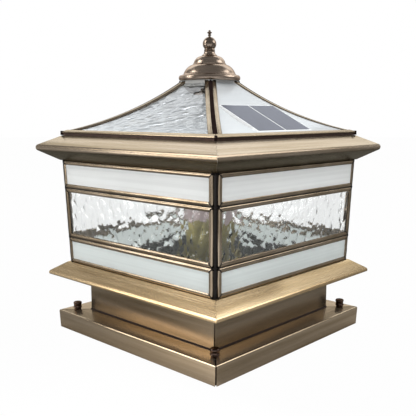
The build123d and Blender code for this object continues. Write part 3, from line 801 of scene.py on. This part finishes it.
# Outline of a came strip: distance from the wall's back, and distance from the frame's outer edge
CAME_OUTLINE = [
    (0.0, 0.0), (0.0, 0.005), (0.00075, 0.005), (0.00075, 0.0028), (0.00285, 0.0028), (0.00285, 0.005),
    (0.00290, 0.005), (0.00310, 0.0048), (0.00330, 0.0044), (0.00348, 0.0038), (0.00358, 0.0031),
    (0.0036, 0.0025), (0.00352, 0.0018), (0.00332, 0.0012), (0.00298, 0.0007), (0.0025, 0.0003),
    (0.0018, 0.0001), (0.0010, 0.0),
]


def came_strip(length):
    """One rounded came strip along Y, with its outer edge at Z 0 and its back at X 0, mitred at both ends."""
    half = length / 2
    clipped = 0.0030
    strip = draw("came", [(x, -half, z) for x, z in CAME_OUTLINE], close=True)
    extrude((0, length, 0))
    for set_back, slope in ((CAME_GAP, 1), (clipped, -1)):
        for way in (1, -1):
            cut((0, way * (half - set_back), 0), (0, way, slope))
    leave(50)
    return strip


def lean_out(piece):
    """Widens a piece of a flat wall towards its top, leans it out and stands it on the +X side."""
    heights = [vertex.co.z for vertex in piece.data.vertices]
    spread = FLARE / WALL_RISE * math.cos(LEAN) / WALL_HALF
    modify(piece, "SIMPLE_DEFORM", deform_method="TAPER", deform_axis="Z", lock_x=True,
           factor=spread * (max(heights) - min(heights)))
    piece.rotation_euler[1] = LEAN
    piece.location = (BODY_HALF - CAME * math.cos(LEAN), 0, WALL_BASE + CAME * math.sin(LEAN))
    settle(piece)


def wall_frames():
    """The came strips of one flat wall, four around each of its three panes."""
    level = came_strip(2 * WALL_HALF)
    parts = []
    for low, high in ROWS:
        upright = came_strip(high - low)
        middle = (low + high) / 2
        parts.append(copied(level, "strip", 0, (0, 0, low), 0))
        parts.append(copied(level, "strip", 180, (0, 0, high), 0))
        parts.append(copied(upright, "strip", 90, (0, WALL_HALF, middle), 0))
        parts.append(copied(upright, "strip", 270, (0, -WALL_HALF, middle), 0))
        bpy.data.objects.remove(upright)
    bpy.data.objects.remove(level)
    return joined("wall_came", *parts)


def wall_solder():
    """The solder of one flat wall, in the joints between two frames and in the mitres of each frame."""
    lines = []
    depth, short, height, centre = 0.0022, 0.002, 0.0017, 0.0018
    for level in LEVELS[1:-1]:
        line = cube("solder", (depth, 2 * WALL_HALF - short, height))
        move((centre, 0, level))
        select_where("EDGE", lambda edge: run_y(edge) > 0.1)
        bpy.ops.mesh.subdivide(number_cuts=60)
        select_where("EDGE", lambda edge: run_y(edge) > 1e-4 and all(v.co.x > centre for v in edge.verts))
        bpy.ops.mesh.bevel(offset=0.0005, segments=2, affect="EDGES")
        leave(60)
        lines.append(line)
    inset, raised = 0.0025, 0.0033
    for low, high in ROWS:
        for y_side in (-1, 1):
            for z, z_side in ((low, 1), (high, -1)):
                fillet = cube("mitre_solder", (0.0009, 0.0070, 0.0014))
                close_mesh()
                fillet.rotation_euler[0] = math.radians(-45 * z_side * y_side)
                fillet.location = (raised, y_side * (WALL_HALF - inset), z + z_side * inset)
                settle(fillet)
                modify(fillet, "BEVEL", width=0.0002, segments=2)
                lines.append(fillet)
    solder = joined("wall_solder", *lines)
    roughen(solder, "solder_lumps", size=0.004, strength=0.0006, level=0.5, direction="X")
    return solder


def corner_post():
    """One corner post: an angle inside with a narrow face in the notch, and solder beads at the joints."""
    sheet, leg, clearance, face = 0.0012, 0.0045, 0.0001, 0.003
    bead_inset, below_top = 0.0018, 0.002
    back = BODY_HALF - CAME / math.cos(LEAN)
    inner = back - sheet
    end = back - leg
    edge = WALL_HALF + clearance
    outer = WALL_HALF + face
    steps = 32
    plan = [(end, -back), (edge, -back), (edge, -outer), (outer, -outer), (outer, -edge), (back, -edge),
            (back, -end), (inner, -end), (inner, -inner), (end, -inner)]
    post = draw("posts", [(x, y, WALL_BASE) for x, y in plan], close=True)
    for _ in range(steps):
        extrude((FLARE / steps, -FLARE / steps, WALL_RISE / steps))
    leave(30)
    modify(post, "BEVEL", width=0.0005, segments=2, limit_method="ANGLE")
    beads = []
    for level in LEVELS[1:-1] + [WALL_LENGTH - below_top]:
        out = outer - bead_inset + FLARE * level / WALL_LENGTH
        beads.append(ball("bead", (0.0026, 0.0026, 0.0014), (out, -out, WALL_BASE + level), rings=10))
    post = joined("posts", *beads, post)
    roughen(post, "post_lumps", size=0.006, strength=0.0006, level=0.6)
    smooth(post, 50)
    return post


class PILLARLIGHT_OT_walls(bpy.types.Operator):
    """Models the came frames, the dark corner posts and the solder between them"""

    bl_idname = "pillarlight.walls"
    bl_label = "Wall frames and posts"

    def execute(self, context):
        look = context.scene.pillar_finish
        # Painted light and shade: the cames' brass is a darker copy.
        brass = lantern_brass(look, "came_brass", gloss=0.22, ring=False, bright=0.62, warm=-0.6)
        dark = dark_metal("came_solder", (0.014, 0.011, 0.009), (0.004, 0.003, 0.003), gloss=0.42)
        wall = wall_frames()
        lean_out(wall)
        dress_each_side(wall, "came", brass, "lantern", "wall_frame", "antique_brass")
        solder = wall_solder()
        lean_out(solder)
        smooth(solder, 60)
        dress(four_sides(solder), dark, "lantern", slot="dark_patina")
        dress(four_sides(corner_post()), dark, "lantern", "corner_posts", slot="dark_patina")
        return {"FINISHED"}


def stretch(piece, factor, **about):
    """Draws a piece's mesh out along Y, about its middle or about another centre."""
    open_mesh(piece)
    bpy.ops.transform.resize(value=(1.0, factor, 1.0), **about)
    close_mesh()


def slide(piece, way):
    """Moves a piece's mesh along X."""
    open_mesh(piece)
    move((way, 0, 0))
    close_mesh()


def hammer(piece, height, size, seed):
    """Gives a sheet its thickness and raises scalloped relief on one of its faces."""
    piece.vertex_groups.new(name="relief")
    modify(piece, "SOLIDIFY", thickness=GLASS, offset=0.0, shell_vertex_group="relief")
    cells = bpy.data.textures.new(piece.name + "_cells", "VORONOI")
    cells.noise_scale = size
    cells.distance_metric = "DISTANCE_SQUARED"
    fine = bpy.data.textures.new(piece.name + "_fine", "CLOUDS")
    fine.noise_scale = size * 0.38
    fine.noise_depth = 2
    slide(piece, seed)
    for texture, share in ((cells, 1.0), (fine, 0.32)):
        modify(piece, "DISPLACE", texture=texture, texture_coords="LOCAL", strength=height * share,
               mid_level=0.5, vertex_group="relief")
    slide(piece, -seed)


def turn_to_side(piece, turn):
    """Turns a piece on the +X side to another side."""
    piece.rotation_euler[2] = math.radians(turn)
    settle(piece)


class PILLARLIGHT_OT_wall_glass(bpy.types.Operator):
    """Models the hammered middle panes and finishes the white ones"""

    bl_idname = "pillarlight.wall_glass"
    bl_label = "Wall panes"

    def execute(self, context):
        look = context.scene.pillar_finish
        # Painted light: the upper panes' milk is lighter than the lower panes', against the shade of the cornice
        # above them.
        white = milk_glass("milk_glass", shade_of(look.milk, 0.99), shade_of(look.milk, 0.90), open_share=0.56)
        pale = (1.03 * look.milk[0], look.milk[1], look.milk[2])
        lightened_upper = milk_glass("upper_milk_glass", shade_of(pale, 1.02), shade_of(pale, 0.93))
        clear = clear_glass("hammered_glass", (0.97, 0.98, 0.98))
        low, high = LEVELS[1] + PANE_INSET, LEVELS[2] - PANE_INSET
        width, height = 2 * (WALL_HALF - PANE_INSET), high - low
        mesh_step, drawn_out = 0.0011, 1.3
        for number, (side, turn) in enumerate(SIDES.items()):
            paint(white, f"{side}_lower_pane")
            paint(lightened_upper, f"{side}_upper_pane")
            pane = begin(f"{side}_hammered_pane", "grid", x_subdivisions=int(width / mesh_step),
                         y_subdivisions=int(height / mesh_step), size=1.0)
            bpy.ops.transform.resize(value=(width, height / drawn_out, 1.0))
            close_mesh()
            hammer(pane, look.ripple_height, look.ripple_size, seed=0.4 * number)
            stretch(pane, drawn_out)
            pane.rotation_euler = (math.radians(90), 0, math.radians(90))
            pane.location = (CAME / 2, 0, (low + high) / 2)
            settle(pane)
            lean_out(pane)
            turn_to_side(pane, turn)
            smooth(pane, 180)
            dress(pane, clear, "lantern", f"{side}_middle_pane", slot="hammered_glass")
        return {"FINISHED"}


def roof_curve(name, depth, near, far, y, steps):
    """A line along the +X slope's arc, at a depth below the strips' top, in edit mode."""
    piece = dot(name, (far, y, roof_height(far, depth)))
    radius = ARC_RADIUS + depth
    turn = math.asin((ARC_CENTRE.x - near) / radius) - math.asin((ARC_CENTRE.x - far) / radius)
    bpy.ops.mesh.spin(steps=steps, angle=turn, center=(ARC_CENTRE.x, y, ARC_CENTRE.y), axis=(0, -1, 0))
    return piece


def roof_ribbon(name, depth, near, far, steps):
    """A sheet along the +X slope's arc, as wide as the roof, in edit mode."""
    piece = roof_curve(name, depth, near, far, -RIM_HALF, steps)
    select_all()
    bpy.ops.mesh.remove_doubles(threshold=SAME)
    select_all()
    extrude((0, 2 * RIM_HALF, 0))
    return piece


def rim_length(brass, shadow):
    """One length of the rim on the +X side, with a band under its bead painted dark as shade."""
    tongue = 0.1134
    tongue_inner = tongue - 0.0014
    tongue_base = CORNICE_TOP - 0.005
    band = RIM_HALF - 0.0012
    bead = [(0.0012, 0.0026), (0.0006, 0.0028), (0.0001, 0.0032), (0.0, 0.0038), (0.0003, 0.0044),
            (0.0010, 0.0048), (0.0022, 0.0051)]
    top = [RIM_HALF - 0.004, STRIP_END + 0.001]
    line = [(tongue_inner, tongue_base), (tongue, tongue_base), (tongue, RIM_BASE), (band, RIM_BASE),
            *((RIM_HALF - inset, RIM_BASE + rise) for inset, rise in bead),
            *((r, roof_height(r)) for r in top),
            (STRIP_END, roof_height(STRIP_END) - 0.0008), (STRIP_END, RIM_BASE + 0.0014),
            (tongue_inner, RIM_BASE + 0.0014)]
    rim = mitred_bar("rim", line, RIM_HALF, seam=0.0004, angle=40)
    # The face under the bead takes the second finish, a painted shade.
    rim.data.materials.append(brass)
    rim.data.materials.append(shadow)
    rim.active_material_index = 1
    open_mesh(rim)
    select_where("FACE", lambda face: abs(face.calc_center_median().x - band) < 1e-5 and face.normal.x > 0.9)
    bpy.ops.object.material_slot_assign()
    close_mesh()
    return rim


def hip_pair():
    """The two rounded hip strips of the +X slope."""
    back = HIP_GROOVE
    front = HIP_GROOVE + HIP_STRIP
    strip = roof_ribbon("hip_strip", depth=0.0, near=COLLAR_HALF, far=STRIP_END, steps=28)
    cut((back, 0, 0), (-1, 1, 0), fill=False)
    cut((front, 0, 0), (1, -1, 0), fill=False)
    close_mesh()
    face_up(strip)
    modify(strip, "SOLIDIFY", thickness=HIP_DEPTH, offset=-1.0)

    def top_edge(edge):
        on_top = all(v.co.z > roof_height(v.co.x) - 0.0004 for v in edge.verts)
        offsets = [v.co.x - v.co.y for v in edge.verts]
        return on_top and any(all(abs(o - side) < 1e-5 for o in offsets) for side in (back, front))

    open_mesh(strip)
    select_where("EDGE", top_edge)
    bpy.ops.mesh.bevel(offset=0.0017, segments=5, profile=0.5, affect="EDGES")
    leave(50)
    return joined("hip_pair", strip, mirrored(strip, "hip_strip_other"))


class PILLARLIGHT_OT_roof_frame(bpy.types.Operator):
    """Models the rim, the strips along the hips, a dark block painted as the shade of a notch at each hip's foot,
    and the bead at its head
    """

    bl_idname = "pillarlight.roof_frame"
    bl_label = "Roof rim and hips"

    def execute(self, context):
        look = context.scene.pillar_finish
        # Painted light and shade: the rim's and the hips' brass are darker copies.
        brass = lantern_brass(look, "rim_brass", bright=0.55, warm=-0.5)
        hip_brass = lantern_brass(look, "hip_brass", gloss=0.22, ring=False, bright=0.5, warm=-1.0)
        dark = dark_metal("roof_solder", (0.014, 0.011, 0.010), (0.005, 0.004, 0.004), gloss=0.35)
        # Painted shade for the band under the rim's bead.
        shadow = dark_metal("rim_painted_shadow", (0.06, 0.03, 0.02), (0.025, 0.014, 0.010), gloss=0.4, metal=0.4)
        groove = dark_metal("hip_shadow", (0.022, 0.014, 0.012), (0.010, 0.006, 0.006), gloss=0.5, shine=0.0)
        fit(four_sides(rim_length(brass, shadow)), "roof", "roof_rim", slot="antique_brass")
        dress_each_side(hip_pair(), "hips", hip_brass, "roof", "hip_strips", "antique_brass")
        paint(groove, "hip_bars")

        # Painted shade: a matte dark block at each hip's foot stands for the shaded notch where the groove meets
        # the rim.
        corner = RIM_HALF - 0.0022
        foot = cube("hip_foot", (0.0066, 0.0029, 0.0050))
        bpy.ops.transform.rotate(value=-math.radians(45), orient_axis="Z", center_override=(0, 0, 0))
        move((corner, corner, RIM_TOP - 0.0021))
        leave(30)
        modify(foot, "BEVEL", width=0.0004, segments=2)
        dress(four_sides(foot), groove, "roof", slot="dark_patina")
        corner = COLLAR_HALF - 0.0004
        head = ball("hip_head", (0.0015, 0.0015, 0.0012), (corner, corner, CAP_BASE - 0.0013), rings=12)
        roughen(head, "solder_lumps", size=0.003, strength=0.0004, level=0.6)
        dress(four_sides(head), dark, "roof", slot="dark_patina")
        return {"FINISHED"}


class PILLARLIGHT_OT_roof_glass(bpy.types.Operator):
    """Models the three hammered roof panes and finishes the opal one around the solar panel"""

    bl_idname = "pillarlight.roof_glass"
    bl_label = "Roof panes"

    def execute(self, context):
        look = context.scene.pillar_finish
        clear = clear_glass("roof_hammered_glass", (0.62, 0.625, 0.63), ior=1.3, crackle=0.06)
        depth, drawn_out = 0.00235, 1.7
        about_axis = {"center_override": (0, 0, 0)}
        near = COLLAR_HALF + 0.0002
        far = STRIP_END + 0.002
        edge = HIP_GROOVE + HIP_STRIP - 0.003
        for number, (side, turn) in enumerate(SIDES.items()):
            if side == "right":
                continue
            pane = roof_ribbon(f"{side}_roof_sheet", depth, near, far, steps=84)
            mitre(edge, fill=False)
            select_where("EDGE", lambda e: run_y(e) > 0.004)
            bpy.ops.mesh.subdivide(number_cuts=70)
            close_mesh()
            face_up(pane)
            stretch(pane, 1 / drawn_out, **about_axis)
            hammer(pane, look.ripple_height * 1.1, look.ripple_size * 0.85, seed=0.5 * number)
            stretch(pane, drawn_out, **about_axis)
            turn_to_side(pane, turn)
            smooth(pane, 180)
            dress(pane, clear, "roof", f"{side}_roof_pane", slot="hammered_glass")
        opal = milk_glass("opal_glass", (0.735, 0.755, 0.765), (0.705, 0.73, 0.745), ior=1.33)
        paint(opal, "right_roof_pane")
        return {"FINISHED"}


def panel_seal():
    """The thin seal along the solar panel's two sides, from the panel's edge down to the pane."""
    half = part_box("solar_panel")[1].y
    lap, reach, face, buried, proud = 0.0003, 0.0045, 0.0012, 0.0015, 0.0001
    below_rim, length = 0.0054, 0.057
    far = STRIP_END - below_rim
    near = far - length
    steps = 24
    edge = draw("panel_edge", [(r, half - lap, roof_height(r, face) + proud) for r in (far, near)])
    bpy.ops.mesh.subdivide(number_cuts=steps - 1)
    close_mesh()
    foot = roof_curve("panel_seal", buried, near, far, half + reach, steps)
    close_mesh()
    seal = joined("panel_seal", edge, foot)
    open_mesh(seal)
    bpy.ops.mesh.remove_doubles(threshold=SAME)
    select_all()
    bpy.ops.mesh.bridge_edge_loops()
    close_mesh()
    face_up(seal)
    modify(seal, "SOLIDIFY", thickness=0.0005, offset=-1.0)
    other = mirrored(seal, "panel_seal_other")
    smooth(seal, 50)
    return joined("panel_seal", other, seal)


class PILLARLIGHT_OT_solar(bpy.types.Operator):
    """Models the solar panel's seal and finishes its cells, its laminate and its lead"""

    bl_idname = "pillarlight.solar"
    bl_label = "Solar cells and lead"

    def execute(self, context):
        look = context.scene.pillar_finish
        paint(silicon("cell_silicon", tuple(look.cell), shade_of(look.cell, 0.8)), "solar_cells")
        dress(panel_seal(), bpy.data.materials["opal_glass"], "roof", slot="white_laminate")
        paint(plain_mould("panel_laminate", (0.86, 0.875, 0.88), (0.82, 0.84, 0.85), gloss=0.2), "solar_panel")
        paint(plain_mould("lead_rubber", (0.03, 0.03, 0.03), (0.018, 0.018, 0.018), gloss=0.45), "solar_lead")
        return {"FINISHED"}


# Outlines of the turned pieces, in radius and height above each one's base
CAP_OUTLINE = [
    (0.0035, 0.0272), (0.0083, 0.0272), (0.0139, 0.0246), (0.0173, 0.0186), (0.0241, 0.0142), (0.0287, 0.0064),
    (0.0343, 0.0024), (0.0343, 0.0), (0.0359, 0.0), (0.0366, 0.0008), (0.0371, 0.0017), (0.0373, 0.0029),
    (0.0371, 0.0041), (0.0366, 0.0050), (0.0359, 0.0058), (0.0350, 0.0060), (0.0338, 0.0064), (0.0327, 0.0069),
    (0.0319, 0.0074), (0.0315, 0.0079), (0.0308, 0.0096), (0.0297, 0.0117), (0.0283, 0.0136), (0.0267, 0.0154),
    (0.0248, 0.0169), (0.0226, 0.0181), (0.0204, 0.0189), (0.0200, 0.0191), (0.0201, 0.0196), (0.0198, 0.0201),
    (0.0192, 0.0204), (0.0190, 0.0210), (0.0186, 0.0224), (0.0178, 0.0241), (0.0166, 0.0257), (0.0151, 0.0271),
    (0.0132, 0.0282), (0.0112, 0.0289), (0.0094, 0.0291), (0.0035, 0.0291), (0.0035, 0.0272),
]
SEAT_OUTLINE = [
    (0.0035, 0.0), (0.0090, 0.0), (0.0093, 0.0003), (0.0093, 0.0007), (0.0089, 0.0010), (0.0080, 0.0015),
    (0.0074, 0.0021), (0.0070, 0.0028), (0.0067, 0.0038), (0.0035, 0.0038), (0.0035, 0.0),
]
FINIAL_OUTLINE = [
    (0.0, 0.0125), (0.0033, 0.0125), (0.0033, 0.0), (0.0062, 0.0), (0.0066, 0.0004), (0.0067, 0.0009),
    (0.0066, 0.0014), (0.0061, 0.0018), (0.0060, 0.0019), (0.0065, 0.0023), (0.0067, 0.0028), (0.0065, 0.0033),
    (0.0060, 0.0038), (0.0059, 0.0043), (0.0061, 0.0046), (0.0068, 0.0055), (0.0075, 0.0067), (0.0080, 0.0082),
    (0.0082, 0.0101), (0.0080, 0.0119), (0.0075, 0.0134), (0.0067, 0.0148), (0.0057, 0.0160), (0.0045, 0.0170),
    (0.0032, 0.0177), (0.0020, 0.0181), (0.0014, 0.0183), (0.0012, 0.0190), (0.0013, 0.0194), (0.0018, 0.0198),
    (0.0021, 0.0204), (0.0018, 0.0210), (0.0013, 0.0214), (0.0013, 0.0217), (0.0020, 0.0222), (0.0027, 0.0228),
    (0.0030, 0.0234), (0.0027, 0.0238), (0.0021, 0.0240), (0.0013, 0.0242), (0.00145, 0.0248), (0.0014, 0.0254),
    (0.0010, 0.0259), (0.0005, 0.02615), (0.0, 0.0262),
]
WASHER_OUTLINE = [
    (NUT_BORE, 0.0), (0.0041, 0.0), (0.0043, 0.0002), (0.0043, 0.0010), (0.0041, 0.0012), (NUT_BORE, 0.0012),
    (NUT_BORE, 0.0),
]

# Outside of a thumb nut in shares of its radius and height: a spool with a rolled foot and head
NUT_SHARES = [
    (0.8, 0.0), (0.8, 0.08), (0.9, 0.085), (0.96, 0.11), (1.0, 0.16), (1.0, 0.21), (0.97, 0.255), (0.93, 0.28),
    (0.91, 0.31), (0.91, 0.65), (0.94, 0.68), (0.98, 0.71), (1.0, 0.76), (1.0, 0.86), (0.97, 0.92), (0.92, 0.965),
    (0.86, 0.99), (0.80, 1.0), (0.72, 0.985), (0.66, 0.95), (0.3, 0.96), (0.0, 0.96),
]


class PILLARLIGHT_OT_cap(bpy.types.Operator):
    """Models the spun cap, the seat and the turned finial, and finishes the collar under the cap"""

    bl_idname = "pillarlight.cap"
    bl_label = "Cap and finial"

    def execute(self, context):
        look = context.scene.pillar_finish
        bronze = spun_bronze("cap_bronze", tuple(look.bronze), shade_of(look.bronze, 0.75), gloss=0.24)
        dark = spun_bronze("finial_bronze", shade_of(look.bronze, 0.74), shade_of(look.bronze, 0.48), gloss=0.22)
        cap = turned("cap", CAP_OUTLINE, CAP_BASE, steps=96)
        dress(cap, bronze, "roof", "roof_cap", slot="bronze")
        seat = turned("seat", SEAT_OUTLINE, SEAT_BASE, steps=64)
        dress(seat, bronze, "finial_seat", "finial_seat", slot="bronze")
        finial = turned("finial_turning", FINIAL_OUTLINE, FINIAL_BASE, steps=64)
        dress(finial, dark, "finial", "finial", slot="bronze")
        zinc = plain_mould("collar_zinc", (0.60, 0.60, 0.59), (0.50, 0.50, 0.49), gloss=0.5, metal=0.2)
        paint(zinc, "roof_collar")
        return {"FINISHED"}


class PILLARLIGHT_OT_nuts(bpy.types.Operator):
    """Models the thumb nuts and their washers"""

    bl_idname = "pillarlight.nuts"
    bl_label = "Thumb nuts"

    def execute(self, context):
        dark = spun_bronze("nut_bronze", (0.17, 0.115, 0.092), (0.05, 0.034, 0.028), gloss=0.2)
        bore = [(NUT_BORE, 0.7 * NUT_HEIGHT), (NUT_BORE, 0.0)]
        outside = [(a * NUT_RADIUS, b * NUT_HEIGHT) for a, b in NUT_SHARES]
        nut = turned("nut", bore + outside, NUT_BASE, steps=40)
        washer = turned("washer", WASHER_OUTLINE, WASHER_BASE, steps=40)
        for corner in CORNERS:
            low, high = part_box(f"{corner}_nut")
            middle = (low + high) / 2
            for piece, name, part in ((nut, "thumb_nut", "nut"), (washer, "collar", "washer")):
                made = copied(piece, f"{corner}_{name}", 0, (middle.x, middle.y, 0))
                dress(made, dark, f"{corner}_{part}", f"{corner}_{part}", slot="dark_bronze")
        bpy.data.objects.remove(nut)
        bpy.data.objects.remove(washer)
        return {"FINISHED"}


class PILLARLIGHT_OT_lamp(bpy.types.Operator):
    """Finishes the lamp column, its boards and the fixings"""

    bl_idname = "pillarlight.lamp"
    bl_label = "Lamp and fixings"

    def execute(self, context):
        # The column's brass fades into a pale pink band between these heights
        fade_base, fade_top = 0.1385, 0.1390
        column = brushed_brass("column_brass", (0.36, 0.31, 0.11), (0.22, 0.19, 0.065), gloss=0.4, ring=False)
        tree = column.node_tree
        shader = tree.nodes["Principled BSDF"]
        band = span(tree, split(tree, place(tree))[2], fade_base, fade_top)
        brass = shader.inputs["Base Color"].links[0].from_socket
        feed(tree, shader, {
            "Base Color": blend(tree, band, brass, (0.60, 0.47, 0.48, 1.0)),
            "Metallic": span(tree, band, 0.0, 1.0, 0.9, 0.0),
        })
        paint(column, "lamp_column", "column_lid")
        floor = dark_metal("floor_paint", (0.022, 0.026, 0.02), (0.01, 0.012, 0.009),
                           gloss=0.6, grain=200.0, shine=0.0)
        paint(floor, "floor_plate")
        steel = plain_mould("zinc_steel", (0.62, 0.62, 0.61), (0.48, 0.48, 0.47),
                            gloss=0.4, metal=1.0, grain=120.0)
        paint(steel, "mounting_plate", "crossbar", "rivets", "centre_rod")
        black = plain_mould("black_mould", (0.035, 0.035, 0.035), (0.02, 0.02, 0.02), gloss=0.5)
        paint(black, "battery_cradle", "lead_socket", "power_button")
        paint(plain_mould("cell_sleeve", (0.06, 0.2, 0.45), (0.05, 0.16, 0.38), gloss=0.3), "battery_cells")
        paint(plain_mould("board_green", (0.04, 0.2, 0.09), (0.03, 0.15, 0.07), gloss=0.45), "charge_board")
        paint(plain_mould("board_white", (0.82, 0.82, 0.78), (0.75, 0.75, 0.71), gloss=0.45), "led_board")
        paint(milk_glass("frosted_dome", (0.88, 0.88, 0.85), (0.84, 0.84, 0.81)), "lamp_diffuser")
        return {"FINISHED"}


# Soft boxes: name, place, size, share of the lamp power and colour, all aimed at the light's middle
AIM = Vector((0, 0, 0.18))
SOFT_BOXES = (
    ("left_box", (-0.86, -0.90, 0.98), (0.5, 0.7), 1.1, (1.0, 0.98, 0.94)),
    ("low_box", (-0.85, -1.15, 0.23), (0.50, 0.30), 0.52, (1.0, 0.98, 0.95)),
    ("right_box", (0.90, 0.86, 0.98), (0.9, 0.7), 1.0, (1.0, 0.99, 0.97)),
    ("back_box", (-0.72, 0.90, 1.26), (2.4, 1.0), 2.7, (0.90, 0.96, 1.0)),
)


def seen_directly(tree):
    """1 for what the camera sees, also through glass, and 0 for the rest."""
    rays = node(tree, "ShaderNodeLightPath").outputs
    return maths(tree, "MAXIMUM", rays["Is Camera Ray"], rays["Is Transmission Ray"])


def floor_paper():
    """Grey paper that the camera sees as white, with a painted pool of light and a painted dark patch that the
    tray's sides mirror.
    """
    finish, tree, shader = new_finish("floor_paper")
    axes = split(tree, place(tree))
    grain = streaks(tree, place(tree), scale=40.0, detail=2.0)
    paper = ramp(tree, grain, [(0.3, (0.20, 0.20, 0.20)), (0.7, (0.22, 0.22, 0.22))])
    # Painted light: in front of the tray the paper grows lighter to the right; painted shade: on its right side
    # it grows darker to the back
    reach = span(tree, axes[0], -0.19, 0.05)
    painted_light_pool = span(tree, times(tree, reach, reach), 0.0, 1.0, 0.08, 0.74)
    in_front = times(tree, span(tree, axes[1], -0.12, -0.16), span(tree, axes[0], -0.42, -0.24))
    paper = blend(tree, in_front, paper, painted_light_pool)
    beyond = times(tree, span(tree, axes[0], 0.12, 0.16), span(tree, axes[1], 0.08, 0.22, 0.0, 0.3))
    feed(tree, shader, {"Base Color": blend(tree, beyond, paper, (0.0, 0.0, 0.0, 1.0)), "Roughness": 0.9})
    white = node(tree, "ShaderNodeEmission", {"Color": (1, 1, 1, 1), "Strength": 1.0})
    show_mix(tree, times(tree, seen_directly(tree), 0.985), shader, white)
    return finish


def studio_world(sky):
    """White to the camera, an even light, and for mirrors a dim room with pale paper behind the part."""
    world = bpy.data.worlds.new("studio")
    world.use_nodes = True
    tree = world.node_tree
    way = split(tree, node(tree, "ShaderNodeTexCoord").outputs["Generated"])
    behind = maths(tree, "SUBTRACT", times(tree, way[1], 0.73), times(tree, way[0], 0.68))
    paper = times(tree, span(tree, behind, 0.2, 0.6), span(tree, way[2], 0.42, 0.22))
    in_mirrors = span(tree, paper, 0.0, 1.0, 0.2, 1.0)
    glossy = node(tree, "ShaderNodeLightPath").outputs["Is Glossy Ray"]
    room = between(tree, glossy, sky, in_mirrors)
    feed(tree, tree.nodes["Background"], {
        "Color": (1, 1, 1, 1), "Strength": between(tree, seen_directly(tree), room, 1.0),
    })
    return world


class PILLARLIGHT_OT_stage(bpy.types.Operator):
    """Sets the floor, the soft studio light and the camera"""

    bl_idname = "pillarlight.stage"
    bl_label = "Stage"

    def execute(self, context):
        setting = context.scene.pillar_stage
        floor = begin("floor", "circle", vertices=96, radius=7.0, fill_type="NGON")
        close_mesh()
        floor.data.materials.append(floor_paper())
        context.scene.world = studio_world(setting.sky)

        for name, where, size, share, tint in SOFT_BOXES:
            bpy.ops.object.light_add(type="AREA", location=where)
            lamp = context.object
            lamp.name = name
            lamp.data.shape = "RECTANGLE"
            lamp.data.size, lamp.data.size_y = size
            lamp.data.energy = setting.lamp_power * share
            lamp.data.color = tint
            lamp.rotation_euler = (AIM - Vector(where)).to_track_quat("-Z", "Y").to_euler()

        bpy.ops.object.camera_add(location=setting.camera)
        camera = context.object
        camera.rotation_euler = (math.pi / 2 - setting.pitch, 0, setting.heading)
        camera.data.lens = setting.lens
        camera.data.sensor_width = 36.0
        camera.data.clip_start = 0.01
        context.scene.camera = camera
        context.scene.view_settings.view_transform = "Standard"
        return {"FINISHED"}


STEPS = (
    PILLARLIGHT_OT_base, PILLARLIGHT_OT_mouldings, PILLARLIGHT_OT_walls, PILLARLIGHT_OT_wall_glass,
    PILLARLIGHT_OT_roof_frame, PILLARLIGHT_OT_roof_glass, PILLARLIGHT_OT_solar, PILLARLIGHT_OT_cap,
    PILLARLIGHT_OT_nuts, PILLARLIGHT_OT_lamp, PILLARLIGHT_OT_stage,
)


class VIEW3D_PT_pillar_light(bpy.types.Panel):
    """Lists the steps that build the pillar light"""

    bl_label = "Pillar Light"
    bl_space_type = "VIEW_3D"
    bl_region_type = "UI"
    bl_category = "Pillar Light"

    def draw(self, context):
        for group in (context.scene.pillar_finish, context.scene.pillar_stage):
            for key in group.__annotations__:
                self.layout.prop(group, key)
        for step in STEPS:
            self.layout.operator(step.bl_idname)


CLASSES = (PillarLightFinish, PillarLightStage, *STEPS, VIEW3D_PT_pillar_light)


def register():
    """Registers the settings, steps and panel."""
    for one in CLASSES:
        bpy.utils.register_class(one)
    bpy.types.Scene.pillar_finish = bpy.props.PointerProperty(type=PillarLightFinish)
    bpy.types.Scene.pillar_stage = bpy.props.PointerProperty(type=PillarLightStage)


def unregister():
    """Removes the settings, steps and panel."""
    del bpy.types.Scene.pillar_stage
    del bpy.types.Scene.pillar_finish
    for one in reversed(CLASSES):
        bpy.utils.unregister_class(one)


def main():
    """Builds every piece in order."""
    register()
    for step in STEPS:
        group, name = step.bl_idname.split(".")
        if getattr(getattr(bpy.ops, group), name)() != {"FINISHED"}:
            raise RuntimeError(f"{step.bl_label} did not finish")


if __name__ == "__main__":
    main()
